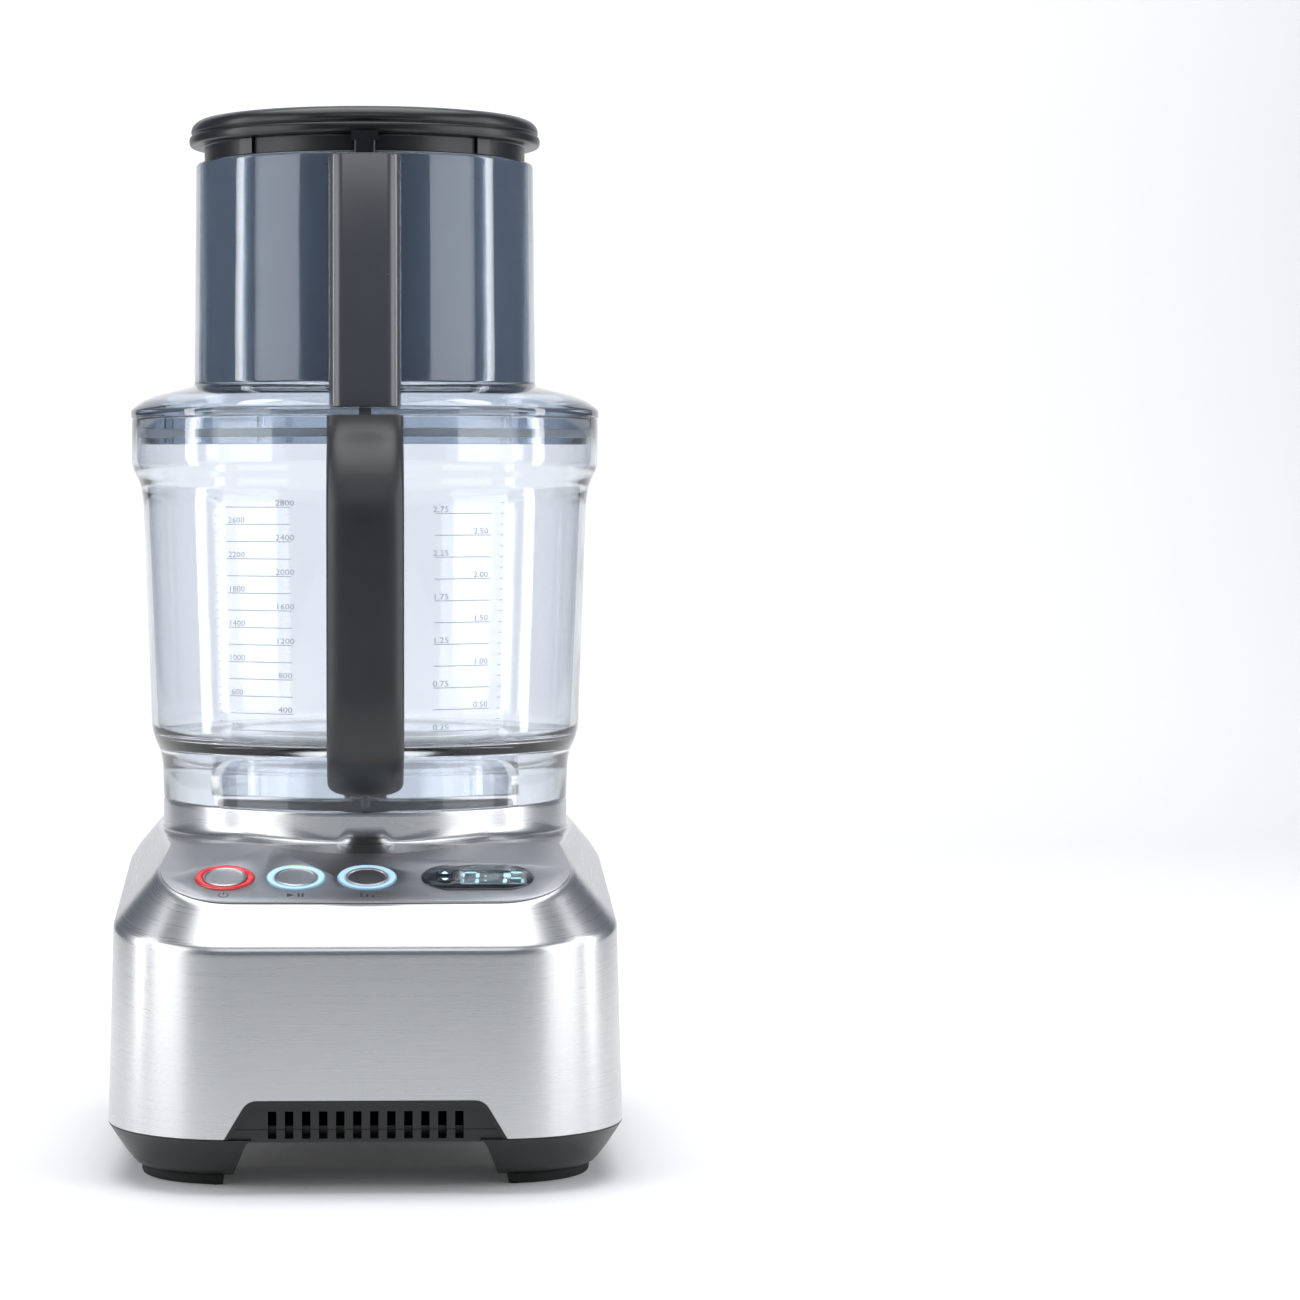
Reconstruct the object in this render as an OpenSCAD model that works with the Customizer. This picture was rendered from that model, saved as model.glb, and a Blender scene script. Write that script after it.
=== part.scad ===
// Food processor: a motor base with a sloped control panel, a clear bowl that
// stands over the drive spindle, and a clear lid whose wide chute holds a pusher.
// Units are millimetres, +Z is up, and the front of the machine faces -Y.
// The origin is the middle of the base's footprint, on the surface it stands on.

/* [Base] */
// Width of the housing at its lower edge
base_w = 212; // [205:1:260]
// Depth of the housing at its lower edge
base_d = 272; // [262:1:330]
// Corner radius of the housing, seen from above
base_r = 53; // [40:1:60]
// Distance from the back of the housing to the drive axis
axis_back = 107; // [100:1:115]
// Height of the housing's lower edge
skirt_z = 22.7; // [20:0.1:28]
// Height of the front crease, where the upright face ends
crease_z = 98.4; // [88:0.2:112]
// How far the upright faces lean in between the lower edge and the crease
draft_in = 2.4; // [0.5:0.1:4]
// Rise of the crease towards the back, in degrees
crease_tilt = 7.5; // [4:0.5:9]
// Slope of the shoulder above the crease, in degrees
shoulder_a = 50; // [46:1:56]
// Depth of the shoulder at the front
shoulder_d = 14.3; // [10:0.1:18]
// Height from the crease at the sides to the shelf round the neck
shelf_rise = 13.9; // [10:0.1:16]
// Height of the neck above the shelf
neck_h = 13.2; // [11:0.1:20]
// Wall of the housing
wall = 2; // [1.5:0.1:2.6]
// Half width of the front notch at its top
notch_w = 47.3; // [40:0.1:52]
// Height of the front notch above the housing's lower edge
notch_h = 15.9; // [12:0.1:20]
// Gap under the floor of the undertray
floor_z = 24; // [20:0.5:26]
// Wall of the undertray
tray_t = 2.6; // [2:0.1:3]

/* [Vents and feet] */
// Number of slots in the front vent
slot_n = 12; // [8:2:14]
// Distance between the slots
slot_pitch = 6.8; // [6:0.1:7.4]
// Width of a slot
slot_w = 3.4; // [2.6:0.1:3.8]
// Height of the rubber feet
foot_h = 4.2; // [3:0.1:6]

/* [Control panel] */
// Slope of the panel, in degrees
panel_a = 18; // [15:0.5:20]
// Thickness of the panel plate
panel_t = 0.8; // [0.6:0.1:1.2]
// Radius of the opening for each light ring
ring_hole_r = 12.3; // [11:0.1:13]
// Radius of the button discs
button_r = 8.9; // [7.5:0.1:9.2]
// Distance between the round buttons
button_pitch = 29; // [26:0.5:30]
// Position of the right round button from the middle
button_x = 0.6; // [-3:0.1:2]
// Travel of the round buttons
button_travel = 1.2; // [0.6:0.1:1.6]
// Length of the display window
display_w = 45.9; // [42:0.1:50]
// Height of the display window, along the slope
display_h = 24.9; // [22:0.1:27]
// Position of the display window from the middle
display_x = 45.7; // [44:0.1:50]
// Travel of the two timer keys
key_travel = 0.5; // [0.3:0.1:0.8]

/* [Bowl] */
// Outer radius of the bowl's foot, which the neck of the base continues
foot_ring_r = 88.8; // [86:0.2:92]
// Outer radius of the bowl under its collar
bowl_r = 97.4; // [95:0.2:99.5]
// Outer radius of the collar
collar_r = 102.3; // [101:0.1:104]
// Height of the bowl
bowl_h = 165.3; // [140:0.1:198.4]
// Height of the bowl's floor above its foot
bowl_floor = 27.3; // [24:0.1:32]
// Wall of the bowl
bowl_t = 2.4; // [2:0.1:2.8]
// Height of the collar
collar_h = 21; // [16:0.5:26]
// Outer radius of the tube in the middle of the bowl
hub_r = 13; // [12:0.1:15]
// Height of that tube above the bowl's floor
hub_h = 42; // [30:1:60]

/* [Lid and chute] */
// Height of the lid from the bowl to the foot of the chute
dome_h = 14.2; // [10:0.1:20]
// Outer radius of the chute at its top
chute_r = 73.8; // [66:0.1:78]
// Height of the chute
chute_h = 96.5; // [80:0.5:120]
// Wall of the chute at its top
chute_t = 2.5; // [2:0.1:3]
// Width of the post in front of the chute
post_w = 30; // [26:0.5:34]
// Reach of the post from the middle of the bowl
post_reach = 112.5; // [111:0.5:116]

/* [Pusher] */
// Radial gap between the pusher and the chute
pusher_gap = 1.2; // [0.5:0.1:2]
// Radius of the pusher's cap
cap_r = 76.7; // [75:0.1:84]
// Height of the cap
cap_h = 12; // [10:0.5:16]
// Height of the dark neck below the cap
cap_neck = 7.6; // [6:0.1:12]
// Outer radius of the small feed tube inside the pusher
feed_r = 33; // [26:0.5:36]

/* [Handle] */
// Width of the handle
handle_w = 31.4; // [28:0.1:34]
// Reach of the handle from the middle of the bowl
handle_reach = 150; // [144:1:158]
// Depth of the grip
grip_d = 27; // [24:0.5:30]
// Travel of the safety rods
rod_travel = 4; // [3:0.5:4.5]
// Thickness of the safety rods
rod_t = 5; // [4:0.5:6]

/* [Drive] */
// Radius of the motor shaft
shaft_r = 6; // [5:0.1:7.2]
// Radius of the drive spindle
spindle_r = 9.4; // [8.6:0.1:9.6]
// Height of the spindle above the neck
spindle_h = 80; // [60:1:90]
// Outer radius of the stator
stator_r = 52; // [46:0.5:56]
// Length of the stator's core
stator_h = 45; // [36:1:48]
// Gap between the rotor and the stator
air_gap = 0.6; // [0.5:0.1:1]
// Radial running clearance of the shaft in its bearings
run_gap = 0.05; // [0.02:0.01:0.1]
// Outer radius of the bearings
bearing_r = 16; // [14:0.5:18]
// Radius of the supply cord that the gland holds
cord_r = 3.7; // [3:0.1:4.2]

/* [Hidden] */

$fn = 96;
eps = 0.01;
fit = 0.3;          // gap between pieces of different bodies
seat = 0.05;        // gap between pieces that lie against each other
axis_y = base_d / 2 - axis_back;
front_y = -base_d / 2;

// ---- Heights, from the floor up ----
neck_r = foot_ring_r;
side_crease_z = crease_z + tan(crease_tilt) * (axis_y - front_y);
shelf_z = side_crease_z + shelf_rise;
neck_z = shelf_z + neck_h;
bowl_z = neck_z + seat;
bowl_top = bowl_z + bowl_h;
lid_z = bowl_top + fit;
chute_z = lid_z + dome_h;
chute_top = chute_z + chute_h;
cap_z = chute_top + cap_neck;
cap_top = cap_z + cap_h;
pusher_r = chute_r - chute_t - pusher_gap;
pusher_z = lid_z + dome_h - 2.5;
pusher_t = 2.2;
feed_t = 2;
post_z = lid_z + 3;
post_top = chute_top - 4;
handle_top = bowl_top - 0.2;
handle_z = bowl_z + 8.4;

module on_axis() { translate([0, axis_y, 0]) children(); }
// A solid of revolution about the drive axis
module turned(points) { on_axis() rotate_extrude($fn = 128) polygon(points); }
module tube_z(r_out, r_in, z0, z1) {
    on_axis() translate([0, 0, z0]) difference() {
        cylinder(r = r_out, h = z1 - z0);
        translate([0, 0, -1]) cylinder(r = r_in, h = z1 - z0 + 2);
    }
}

// ---- The outline of the base: points and outward directions ----
arc_n = 12;
side_n = 8;
function corner_sign(k) = [[1, 1], [-1, 1], [-1, -1], [1, -1]][k];
function corner_point(k, a) =
    [corner_sign(k)[0] * (base_w / 2 - base_r) + base_r * cos(a),
     corner_sign(k)[1] * (base_d / 2 - base_r) + base_r * sin(a)];
columns = [for (k = [0:3]) each concat(
    [for (j = [0:arc_n]) let (a = 90 * (k + j / arc_n)) [corner_point(k, a), [cos(a), sin(a)]]],
    [for (j = [1:side_n - 1])
        let (a = 90 * (k + 1), u = j / side_n)
        [corner_point(k, a) * (1 - u) + corner_point((k + 1) % 4, a) * u, [cos(a), sin(a)]]])];
function inset(c, e) = c[0] - e * c[1];
module base_outline(e) {
    polygon([for (c = columns) inset(c, e)]);
}

// ---- The surface of the housing along one column of the outline ----
axis_p = [0, axis_y];
panel_y = front_y + draft_in + shoulder_d;
panel_z = crease_z + tan(shoulder_a) * shoulder_d;
function top_z(y) = min(panel_z + tan(panel_a) * (y - panel_y), shelf_z);
function crease_at(c) =
    crease_z + tan(crease_tilt) * (min(inset(c, draft_in)[1], axis_y) - front_y - draft_in);
// Inset at which the shoulder meets the panel or the shelf
function edge_in(c) = min(
    (panel_z + tan(panel_a) * (c[0][1] - panel_y) - crease_at(c) + tan(shoulder_a) * draft_in)
        / (tan(shoulder_a) + tan(panel_a) * c[1][1]),
    draft_in + (shelf_z - crease_at(c)) / tan(shoulder_a));
function edge_p(c) = inset(c, edge_in(c));
function lift(p, z) = [p[0], p[1], z];
function ray(p) = (p - axis_p) / norm(p - axis_p);
kink_y = panel_y + (shelf_z - panel_z) / tan(panel_a);
function kink_u(a, b) =
    let (u = (kink_y - a[1]) / (b[1] - a[1] + eps)) (u > 0.05 && u < 0.95) ? u : 0.5;
// A corner b between a and c, rounded over the length r
function rounded(a, b, c, r, n) =
    let (p = b + r * (a - b) / norm(a - b), q = b + r * (c - b) / norm(c - b))
    [for (i = [0:n]) let (u = i / n) (1 - u) * (1 - u) * p + 2 * u * (1 - u) * b + u * u * q];
fillet = 13;
boss_hole_r = 36.4;
function profile(c) =
    let (foot = lift(inset(c, 0), skirt_z),
         crease = lift(inset(c, draft_in), crease_at(c)),
         edge = lift(edge_p(c), top_z(edge_p(c)[1])),
         d = ray(edge_p(c)),
         root = axis_p + neck_r * d,
         k = edge_p(c) + kink_u(edge_p(c), root) * (root - edge_p(c)),
         kink = lift(k, top_z(k[1])),
         base_of_neck = lift(root, top_z(root[1])),
         rim = lift(root, neck_z),
         hole = lift(axis_p + (boss_hole_r - 2) * d, neck_z),
         reach = min(fillet, 0.92 * norm(base_of_neck - kink)),
         inner_r = neck_r - wall,
         root_in = axis_p + inner_r * d,
         edge_i = inset(c, edge_in(c) + 0.8 * wall))
    concat([foot],
        rounded(foot, crease, edge, 5, 3),
        rounded(crease, edge, kink, min(2.5, 0.4 * norm(kink - edge)), 2),
        [kink],
        rounded(kink, base_of_neck, rim, min(reach, 0.8 * neck_h), 4),
        rounded(base_of_neck, rim, hole, 1, 1),
        [hole, hole - [0, 0, wall], lift(root_in, neck_z - wall),
         lift(root_in, top_z(root_in[1]) - 1.2 * wall),
         lift(k, top_z(k[1]) - 1.3 * wall),
         lift(edge_i, top_z(edge_p(c)[1]) - 1.4 * wall),
         lift(inset(c, draft_in + wall), crease_at(c) - wall / 2),
         lift(inset(c, wall), skirt_z)]);
rings = [for (c = columns) profile(c)];
ring_len = len(rings[0]);
ring_n = len(columns);

// A frame whose Z is the panel's outward direction, x across and y up the slope
module on_panel(x, y, z) {
    translate([0, panel_y, panel_z + seat]) rotate([panel_a, 0, 0]) translate([x, y, z]) children();
}
panel_mid = 0.5 * (axis_y - neck_r - fillet - panel_y) / cos(panel_a);
round_x = [button_x - 2 * button_pitch, button_x - button_pitch, button_x];
key_x = display_x - 0.29 * display_w;
key_off = 3.3;
key_w = 6;
key_h = 4.2;
window_w = 154;
window_h = 29;
window_r = 12;
board_z = -9;
board_t = 1.6;
switch_h = 2.6;
board_holes = [[round_x[0] - 13.6, 9], [button_x - button_pitch / 2, -11.5],
    [button_x - button_pitch / 2, 11.5], [display_x + display_w / 2 + 2.4, 9]];

module stadium(w, h) {
    r = h / 2;
    hull() for (s = [-1, 1]) translate([s * (w / 2 - r), 0]) circle(r = r, $fn = 48);
}

module panel_window() {
    on_panel(0, panel_mid, -12) linear_extrude(20) offset(r = window_r, $fn = 48)
        square([window_w - 2 * window_r, window_h - 2 * window_r], center = true);
}

notch_r = 3;
notch_flare = 12;
module notch() {
    translate([0, front_y + 30, skirt_z]) rotate([90, 0, 0]) linear_extrude(60)
        offset(r = notch_r) offset(delta = -notch_r)
            polygon([[-notch_w - notch_flare, -4], [notch_w + notch_flare, -4],
                [notch_w, notch_h], [-notch_w, notch_h]]);
}

rod_pin_r = 78;
gland_z = floor_z + tray_t + 11.6;
module housing() {
    points = [for (r = rings) each r];
    faces = [for (i = [0:ring_n - 1]) each
        [for (j = [0:ring_len - 1])
            let (a = i * ring_len + j, b = i * ring_len + (j + 1) % ring_len,
                 n = ((i + 1) % ring_n) * ring_len)
            each [[a, b, n + (j + 1) % ring_len], [a, n + (j + 1) % ring_len, n + j]]]];
    color("#b4b6b8") difference() {
        polyhedron(points, faces, convexity = 10);
        panel_window();
        notch();
        on_axis() translate([0, 0, neck_z - 5]) cylinder(r = boss_hole_r, h = 10);
        on_axis() translate([0, -rod_pin_r, neck_z - 5]) cylinder(r = 3.4, h = 10);
        translate([0, -front_y - 10, gland_z]) rotate([-90, 0, 0]) cylinder(r = 8.2, h = 20);
    }
}

// ---- Undertray, feet and what closes the base from below ----
pod_in = 12;
pod_front_in = 26;
pod_r = 36;
pod_gap_x = 47;
pod_gap_y = 60;
module pod_foot(e) {
    offset(r = pod_r - e, $fn = 48)
        square([base_w - 2 * (pod_in + pod_r), base_d - 2 * (pod_front_in + pod_r)], center = true);
}
module pod_mass(e, z0, z1) {
    hull() {
        translate([0, 0, z1 - eps]) linear_extrude(eps) base_outline(e);
        translate([0, 0, z0]) linear_extrude(eps) pod_foot(e);
    }
}
// The space between the four pods: an arch from front to back and one across
module arches(grow, z1) {
    for (turn = [[0, pod_gap_x, base_d], [90, pod_gap_y, base_w]])
        rotate([0, 0, turn[0]]) rotate([90, 0, 0]) linear_extrude(turn[2] + 20, center = true)
            polygon([[-turn[1] - 10 + grow, -5], [turn[1] + 10 - grow, -5],
                [turn[1] - grow, z1], [-turn[1] + grow, z1]]);
}
foot_x = base_w / 2 - 33;
foot_y = base_d / 2 - 45;
module at_feet() { for (x = [-1, 1], y = [-1, 1]) translate([x * foot_x, y * foot_y, 0]) children(); }
module slots() {
    for (i = [0:slot_n - 1])
        translate([(i - (slot_n - 1) / 2) * slot_pitch - slot_w / 2, front_y, floor_z - 1])
            cube([slot_w, 12, notch_h - 5]);
}
boss_r = 5;
screw_r = 2;
tray_wall = wall + fit;
apron_in = tray_wall + draft_in * (notch_h + 4) / (crease_z - skirt_z);
module undertray() {
    color("#1c1d1f") difference() {
        union() {
            difference() {
                pod_mass(0, foot_h, skirt_z);
                arches(0, floor_z - eps);
            }
            translate([0, 0, skirt_z - eps])
                linear_extrude(floor_z + tray_t - skirt_z) base_outline(tray_wall);
            intersection() {
                translate([0, 0, floor_z]) linear_extrude(notch_h + 1) difference() {
                    base_outline(apron_in);
                    base_outline(apron_in + tray_t);
                }
                translate([-notch_w - 8, front_y, 0]) cube([2 * notch_w + 16, 12, 60]);
            }
            at_feet() translate([0, 0, foot_h + 1]) cylinder(r = boss_r, h = floor_z + tray_t + 4 - foot_h);
        }
        difference() {
            pod_mass(tray_t + 1, foot_h + tray_t, floor_z + 8);
            arches(-tray_t, floor_z + tray_t);
            translate([-300, -300, floor_z + tray_t]) cube([600, 600, 60]);
            at_feet() cylinder(r = boss_r, h = 60);
        }
        slots();
        at_feet() {
            cylinder(r = screw_r + 0.2, h = 60);
            cylinder(r = 4.4, h = foot_h + 5);
        }
        on_axis() for (a = [0:30:330]) rotate([0, 0, a])
            translate([22, -2, floor_z - 1]) cube([18, 4, tray_t + 3]);
    }
}
module rubber_feet() {
    color("#141414") difference() {
        linear_extrude(foot_h - seat) intersection() {
            pod_foot(1.2);
            for (x = [-1, 1], y = [-1, 1])
                translate([x * (pod_gap_x + 11 + base_w / 2), y * (pod_gap_y + 11 + base_d / 2)])
                    square([base_w, base_d], center = true);
        }
        at_feet() translate([0, 0, -1]) cylinder(r = 4.6, h = foot_h + 2);
    }
}
module case_screws() {
    color("#8e9092") at_feet() {
        translate([0, 0, foot_h + 1.8]) cylinder(r = 3.8, h = 3);
        cylinder_from(foot_h + 4.8, floor_z + 28, screw_r);
    }
}
module cylinder_from(z0, z1, r) { translate([0, 0, z0 - eps]) cylinder(r = r, h = z1 - z0 + eps); }

module cord_gland() {
    color("#1a1a1b") translate([0, -front_y, gland_z]) rotate([90, 0, 0]) difference() {
        union() {
            translate([0, 0, 0.1]) cylinder(r = 8.1, h = 6);
            translate([0, 0, wall + 0.9]) cylinder(r = 9.6, h = 11.7);
        }
        translate([0, 0, -2]) cylinder(r = cord_r, h = 30);
    }
}

// ---- Control panel ----
module panel_plan() {
    difference() {
        polygon([for (c = columns) if (edge_p(c)[1] < axis_y) inset(c, edge_in(c) + 0.8)]);
        translate([0, axis_y]) circle(r = neck_r + fillet + 0.4, $fn = 128);
    }
}
function top_at(y) = panel_z + tan(panel_a) * (y - panel_y);
module panel_slab(z0, z1) {
    far = axis_y + 5;
    near = front_y;
    rotate([90, 0, 90]) translate([0, 0, -base_w]) linear_extrude(2 * base_w)
        polygon([[near, top_at(near) + z0], [kink_y, shelf_z + z0], [far, shelf_z + z0],
            [far, shelf_z + z1], [kink_y, shelf_z + z1], [near, top_at(near) + z1]]);
}
module control_panel() {
    color("#8a8c90") difference() {
        union() {
            intersection() {
                linear_extrude(2 * shelf_z) panel_plan();
                panel_slab(seat, seat + panel_t);
            }
            for (p = board_holes) on_panel(p[0], panel_mid + p[1], board_z + board_t + seat)
                cylinder(r = 2.6, h = -board_z - board_t - seat + eps);
        }
        for (x = round_x) on_panel(x, panel_mid, -5) cylinder(r = ring_hole_r, h = 10);
        on_panel(display_x, panel_mid, -5) linear_extrude(10) stadium(display_w + 0.2, display_h + 0.2);
        for (p = board_holes) on_panel(p[0], panel_mid + p[1], board_z - 2) cylinder(r = 1.1, h = 9);
    }
}
module light_ring(x) {
    on_panel(x, panel_mid, 0) difference() {
        union() {
            translate([0, 0, -4]) cylinder(r = ring_hole_r - 0.1, h = 4 + panel_t + 0.5);
            translate([0, 0, -4]) cylinder(r = ring_hole_r + 0.9, h = 3.95);
        }
        translate([0, 0, -6]) cylinder(r = button_r + fit, h = 12);
    }
}
module power_ring() { color("#c42b30") light_ring(round_x[0]); }
module light_rings() { color("#a9d6f2") for (i = [1, 2]) light_ring(round_x[i]); }
module round_button(x) {
    top = panel_t + 0.4;
    on_panel(x, panel_mid, 0) union() {
        rotate_extrude() polygon([[0, -1.5], [button_r, -1.5], [button_r, top],
            [button_r - 0.8, top + 0.3], [button_r * 0.6, top - 0.3], [0, top - 0.7]]);
        translate([0, 0, board_z + board_t + switch_h + 0.1 + button_travel])
            cylinder(r = 2.5, h = -board_z - board_t - switch_h - 0.1 - button_travel - 1.4);
    }
}
module power_button() { color("#b9bbbd") round_button(round_x[0]); }
module start_button() { color("#b9bbbd") round_button(round_x[1]); }
module pulse_button() { color("#b9bbbd") round_button(round_x[2]); }
module key_hole(grow) { linear_extrude(12) stadium(key_w + 2 * grow, key_h + 2 * grow); }
module display_window() {
    color("#23282e") on_panel(display_x, panel_mid, 0) difference() {
        translate([0, 0, -1]) linear_extrude(1 + panel_t + 0.3) stadium(display_w, display_h);
        for (s = [-1, 1]) translate([key_x - display_x, s * key_off, -4]) key_hole(fit);
    }
}
module lcd_module() {
    color("#7fa9ad") on_panel(display_x + 0.14 * display_w, panel_mid, -1 - seat - 3)
        translate([-14, -8, 0]) cube([28, 16, 3]);
}
module timer_key(s) {
    on_panel(key_x, panel_mid + s * key_off, 0) union() {
        translate([0, 0, -2.2]) linear_extrude(2.2 + panel_t + 0.6) stadium(key_w, key_h);
        translate([0, 0, board_z + board_t + switch_h + 0.1 + key_travel])
            cylinder(r = 1.2, h = -board_z - board_t - switch_h - 0.1 - key_travel - 2.1);
    }
}
module timer_up_key() { color("#4c5358") timer_key(1); }
module timer_down_key() { color("#4c5358") timer_key(-1); }
module control_board() {
    color("#1f5a3c") on_panel(0, panel_mid, board_z) difference() {
        translate([-78, -15, 0]) cube([156, 30, board_t]);
        for (p = board_holes) translate([p[0], p[1], -1]) cylinder(r = 1.3, h = 5);
    }
}
module key_switches() {
    z = board_z + board_t + seat;
    color("#2a2a2a") {
        for (x = round_x) on_panel(x, panel_mid, z) translate([-3, -3, 0]) cube([6, 6, switch_h - seat]);
        for (s = [-1, 1]) on_panel(key_x, panel_mid + s * key_off, z)
            translate([-1.8, -1.8, 0]) cube([3.6, 3.6, switch_h - seat]);
    }
}
module board_screws() {
    color("#9a9c9e") for (p = board_holes) on_panel(p[0], panel_mid + p[1], board_z) {
        translate([0, 0, -1.6 - seat]) cylinder(r = 2.2, h = 1.6);
        translate([0, 0, -0.1]) cylinder(r = 1, h = 6);
    }
}
switch_gap = 0.8;
module interlock_switch() {
    top = neck_z - wall - switch_gap;
    color("#26282b") on_axis() translate([0, -rod_pin_r, 0]) {
        translate([-10, -4, top - 11]) cube([20, 10, 10]);
        translate([-1.8, -1.8, top - 1.2]) cube([3.6, 3.6, 1.2]);
    }
}

// ---- Motor, upright on the drive axis ----
mount_top = floor_z + tray_t + 12;
bracket_t = 4;
lower_z = mount_top + seat;
stator_z = lower_z + bracket_t + 9;
winding_h = 7;
upper_z = stator_z + stator_h + winding_h + 2;
bolt_pcd_r = stator_r + 6;
bearing_h = 9;
rotor_r = stator_r * 0.56 - air_gap;
module at_bolts() {
    on_axis() for (a = [45:90:315]) rotate([0, 0, a]) translate([bolt_pcd_r, 0, 0]) children();
}
module motor_mounts() {
    color("#1b1b1b") at_bolts() difference() {
        cylinder_from(floor_z + tray_t + seat + eps, mount_top, 8);
        translate([0, 0, floor_z]) cylinder(r = 2.6, h = 40);
    }
}
module bracket(z, pocket_z) {
    difference() {
        union() {
            on_axis() translate([0, 0, z]) cylinder(r = bearing_r + 3, h = bracket_t);
            on_axis() translate([0, 0, min(z, pocket_z)]) cylinder(r = bearing_r + 3, h = bearing_h);
            for (a = [45, 135]) on_axis() rotate([0, 0, a]) translate([-bolt_pcd_r, -7, z])
                cube([2 * bolt_pcd_r, 14, bracket_t]);
            at_bolts() translate([0, 0, z]) cylinder(r = 8, h = bracket_t);
        }
        on_axis() translate([0, 0, pocket_z]) cylinder(r = bearing_r, h = bearing_h + 1);
        on_axis() translate([0, 0, z - 20]) cylinder(r = bearing_r - 3, h = 60);
        at_bolts() translate([0, 0, z - 1]) cylinder(r = 2.6, h = bracket_t + 2);
    }
}
module lower_bracket() { color("#9b9da0") bracket(lower_z, lower_z + 1.5); }
module upper_bracket() { color("#9b9da0") bracket(upper_z, upper_z + 1.5); }
module bearing(z) { tube_z(bearing_r - 0.02, shaft_r + run_gap, z, z + bearing_h - 1.6); }
module lower_bearing() { color("#c8cacc") bearing(lower_z + 1.55); }
module upper_bearing() { color("#c8cacc") bearing(upper_z + 1.55); }
module motor_stator() {
    color("#6c6e72") difference() {
        tube_z(stator_r, rotor_r + air_gap, stator_z, stator_z + stator_h);
        on_axis() for (a = [0:30:330]) rotate([0, 0, a])
            translate([rotor_r + 6, -3, stator_z - 1]) cube([stator_r * 0.28, 6, stator_h + 2]);
    }
}
module motor_windings() {
    color("#b0642a") {
        for (z = [stator_z - winding_h - seat, stator_z + stator_h + seat])
            on_axis() translate([0, 0, z + winding_h / 2]) rotate_extrude()
                translate([rotor_r + 5, -winding_h / 2]) square([stator_r * 0.3, winding_h]);
    }
}
module tie_bolts() {
    color("#8e9092") at_bolts() {
        cylinder_from(floor_z + tray_t + 1, upper_z + bracket_t + 6, 2.4);
        translate([0, 0, upper_z + bracket_t + seat]) cylinder(r = 4.6, h = 3.6, $fn = 6);
    }
}
module motor_rotor() { color("#5f6165") tube_z(rotor_r, shaft_r + seat, stator_z, stator_z + stator_h); }
fan_z = floor_z + tray_t + 2.5;
module motor_shaft() {
    color("#c9cbcd") on_axis() cylinder_from(fan_z, neck_z + 30, shaft_r);
}
module cooling_fan() {
    color("#2f3032") on_axis() difference() {
        union() {
            translate([0, 0, fan_z]) cylinder(r = shaft_r + 5, h = 9);
            translate([0, 0, fan_z]) cylinder(r = bolt_pcd_r - 12, h = 1.6);
            for (a = [0:40:320]) rotate([0, 0, a]) translate([shaft_r + 3, -0.8, fan_z + 1])
                cube([bolt_pcd_r - 16 - shaft_r, 1.6, 7]);
        }
        translate([0, 0, fan_z - 1]) cylinder(r = shaft_r + seat, h = 20);
    }
}
spindle_z = neck_z + 5;
module drive_spindle() {
    color("#3c3f43") on_axis() difference() {
        union() {
            translate([0, 0, spindle_z]) cylinder(r = spindle_r, h = spindle_h - 12);
            translate([0, 0, spindle_z + spindle_h - 12 - eps]) intersection() {
                cylinder(r = spindle_r - 1.4, h = 12 + eps);
                translate([-spindle_r, -5.5, -1]) cube([2 * spindle_r, 11, 16]);
            }
        }
        translate([0, 0, spindle_z - 1]) cylinder(r = shaft_r + seat, h = 26.2);
        for (a = [0:60:300]) rotate([0, 0, a])
            translate([spindle_r, 0, spindle_z + 34]) cylinder(r = 1.3, h = spindle_h - 50);
    }
}
boss_top = neck_z + 4;
module spindle_boss() {
    inner = shaft_r + 2.2;
    color("#d9dcdd") turned([[inner, neck_z - wall - 3], [boss_hole_r + 3, neck_z - wall - 3],
        [boss_hole_r + 3, neck_z - wall - seat], [boss_hole_r - seat, neck_z - wall - seat],
        [boss_hole_r - seat, neck_z + 1.2], [boss_hole_r - 2, neck_z + 2], [18, boss_top],
        [12, boss_top], [12, neck_z + 1], [inner, neck_z + 1]]);
}
module spindle_seal() {
    color("#161616") turned([[shaft_r + 0.3, neck_z + 1 + seat], [11.9, neck_z + 1 + seat],
        [11.9, neck_z + 2.6], [shaft_r + 2, neck_z + 2.6], [shaft_r + 0.3, neck_z + 3.8]]);
}
lock_r = 65.2;
lock_in = 40;
lock_h = 4.2;
module lock_ring() {
    color("#55585c") turned([[lock_in, neck_z + seat], [lock_r, neck_z + seat],
        [lock_r, neck_z + lock_h - 1], [lock_r - 1, neck_z + lock_h],
        [lock_in + 1, neck_z + lock_h], [lock_in, neck_z + lock_h - 1]]);
}

// ---- Bowl ----
floor_top = bowl_z + bowl_floor;
collar_z = bowl_top - collar_h;
bowl_foot_r = bowl_r - 3.5;
hub_bore = spindle_r + 0.8;
drum_r = lock_r + 0.5;
function arc_pts(cx, cy, r, a0, a1, n) =
    [for (i = [0:n]) let (a = a0 + (a1 - a0) * i / n) [cx + r * cos(a), cy + r * sin(a)]];
bowl_outer = concat(
    [[foot_ring_r, bowl_z], [foot_ring_r + 0.4, floor_top - 12], [foot_ring_r + 1.8, floor_top - 6]],
    [[bowl_foot_r - 1.6, floor_top - 2.6], [bowl_foot_r, floor_top + 2.5]],
    [[bowl_r, collar_z - 14], [bowl_r + 1.2, collar_z - 7], [collar_r - 0.8, collar_z - 1.4],
     [collar_r, collar_z + 2], [collar_r, bowl_top]]);
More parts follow.
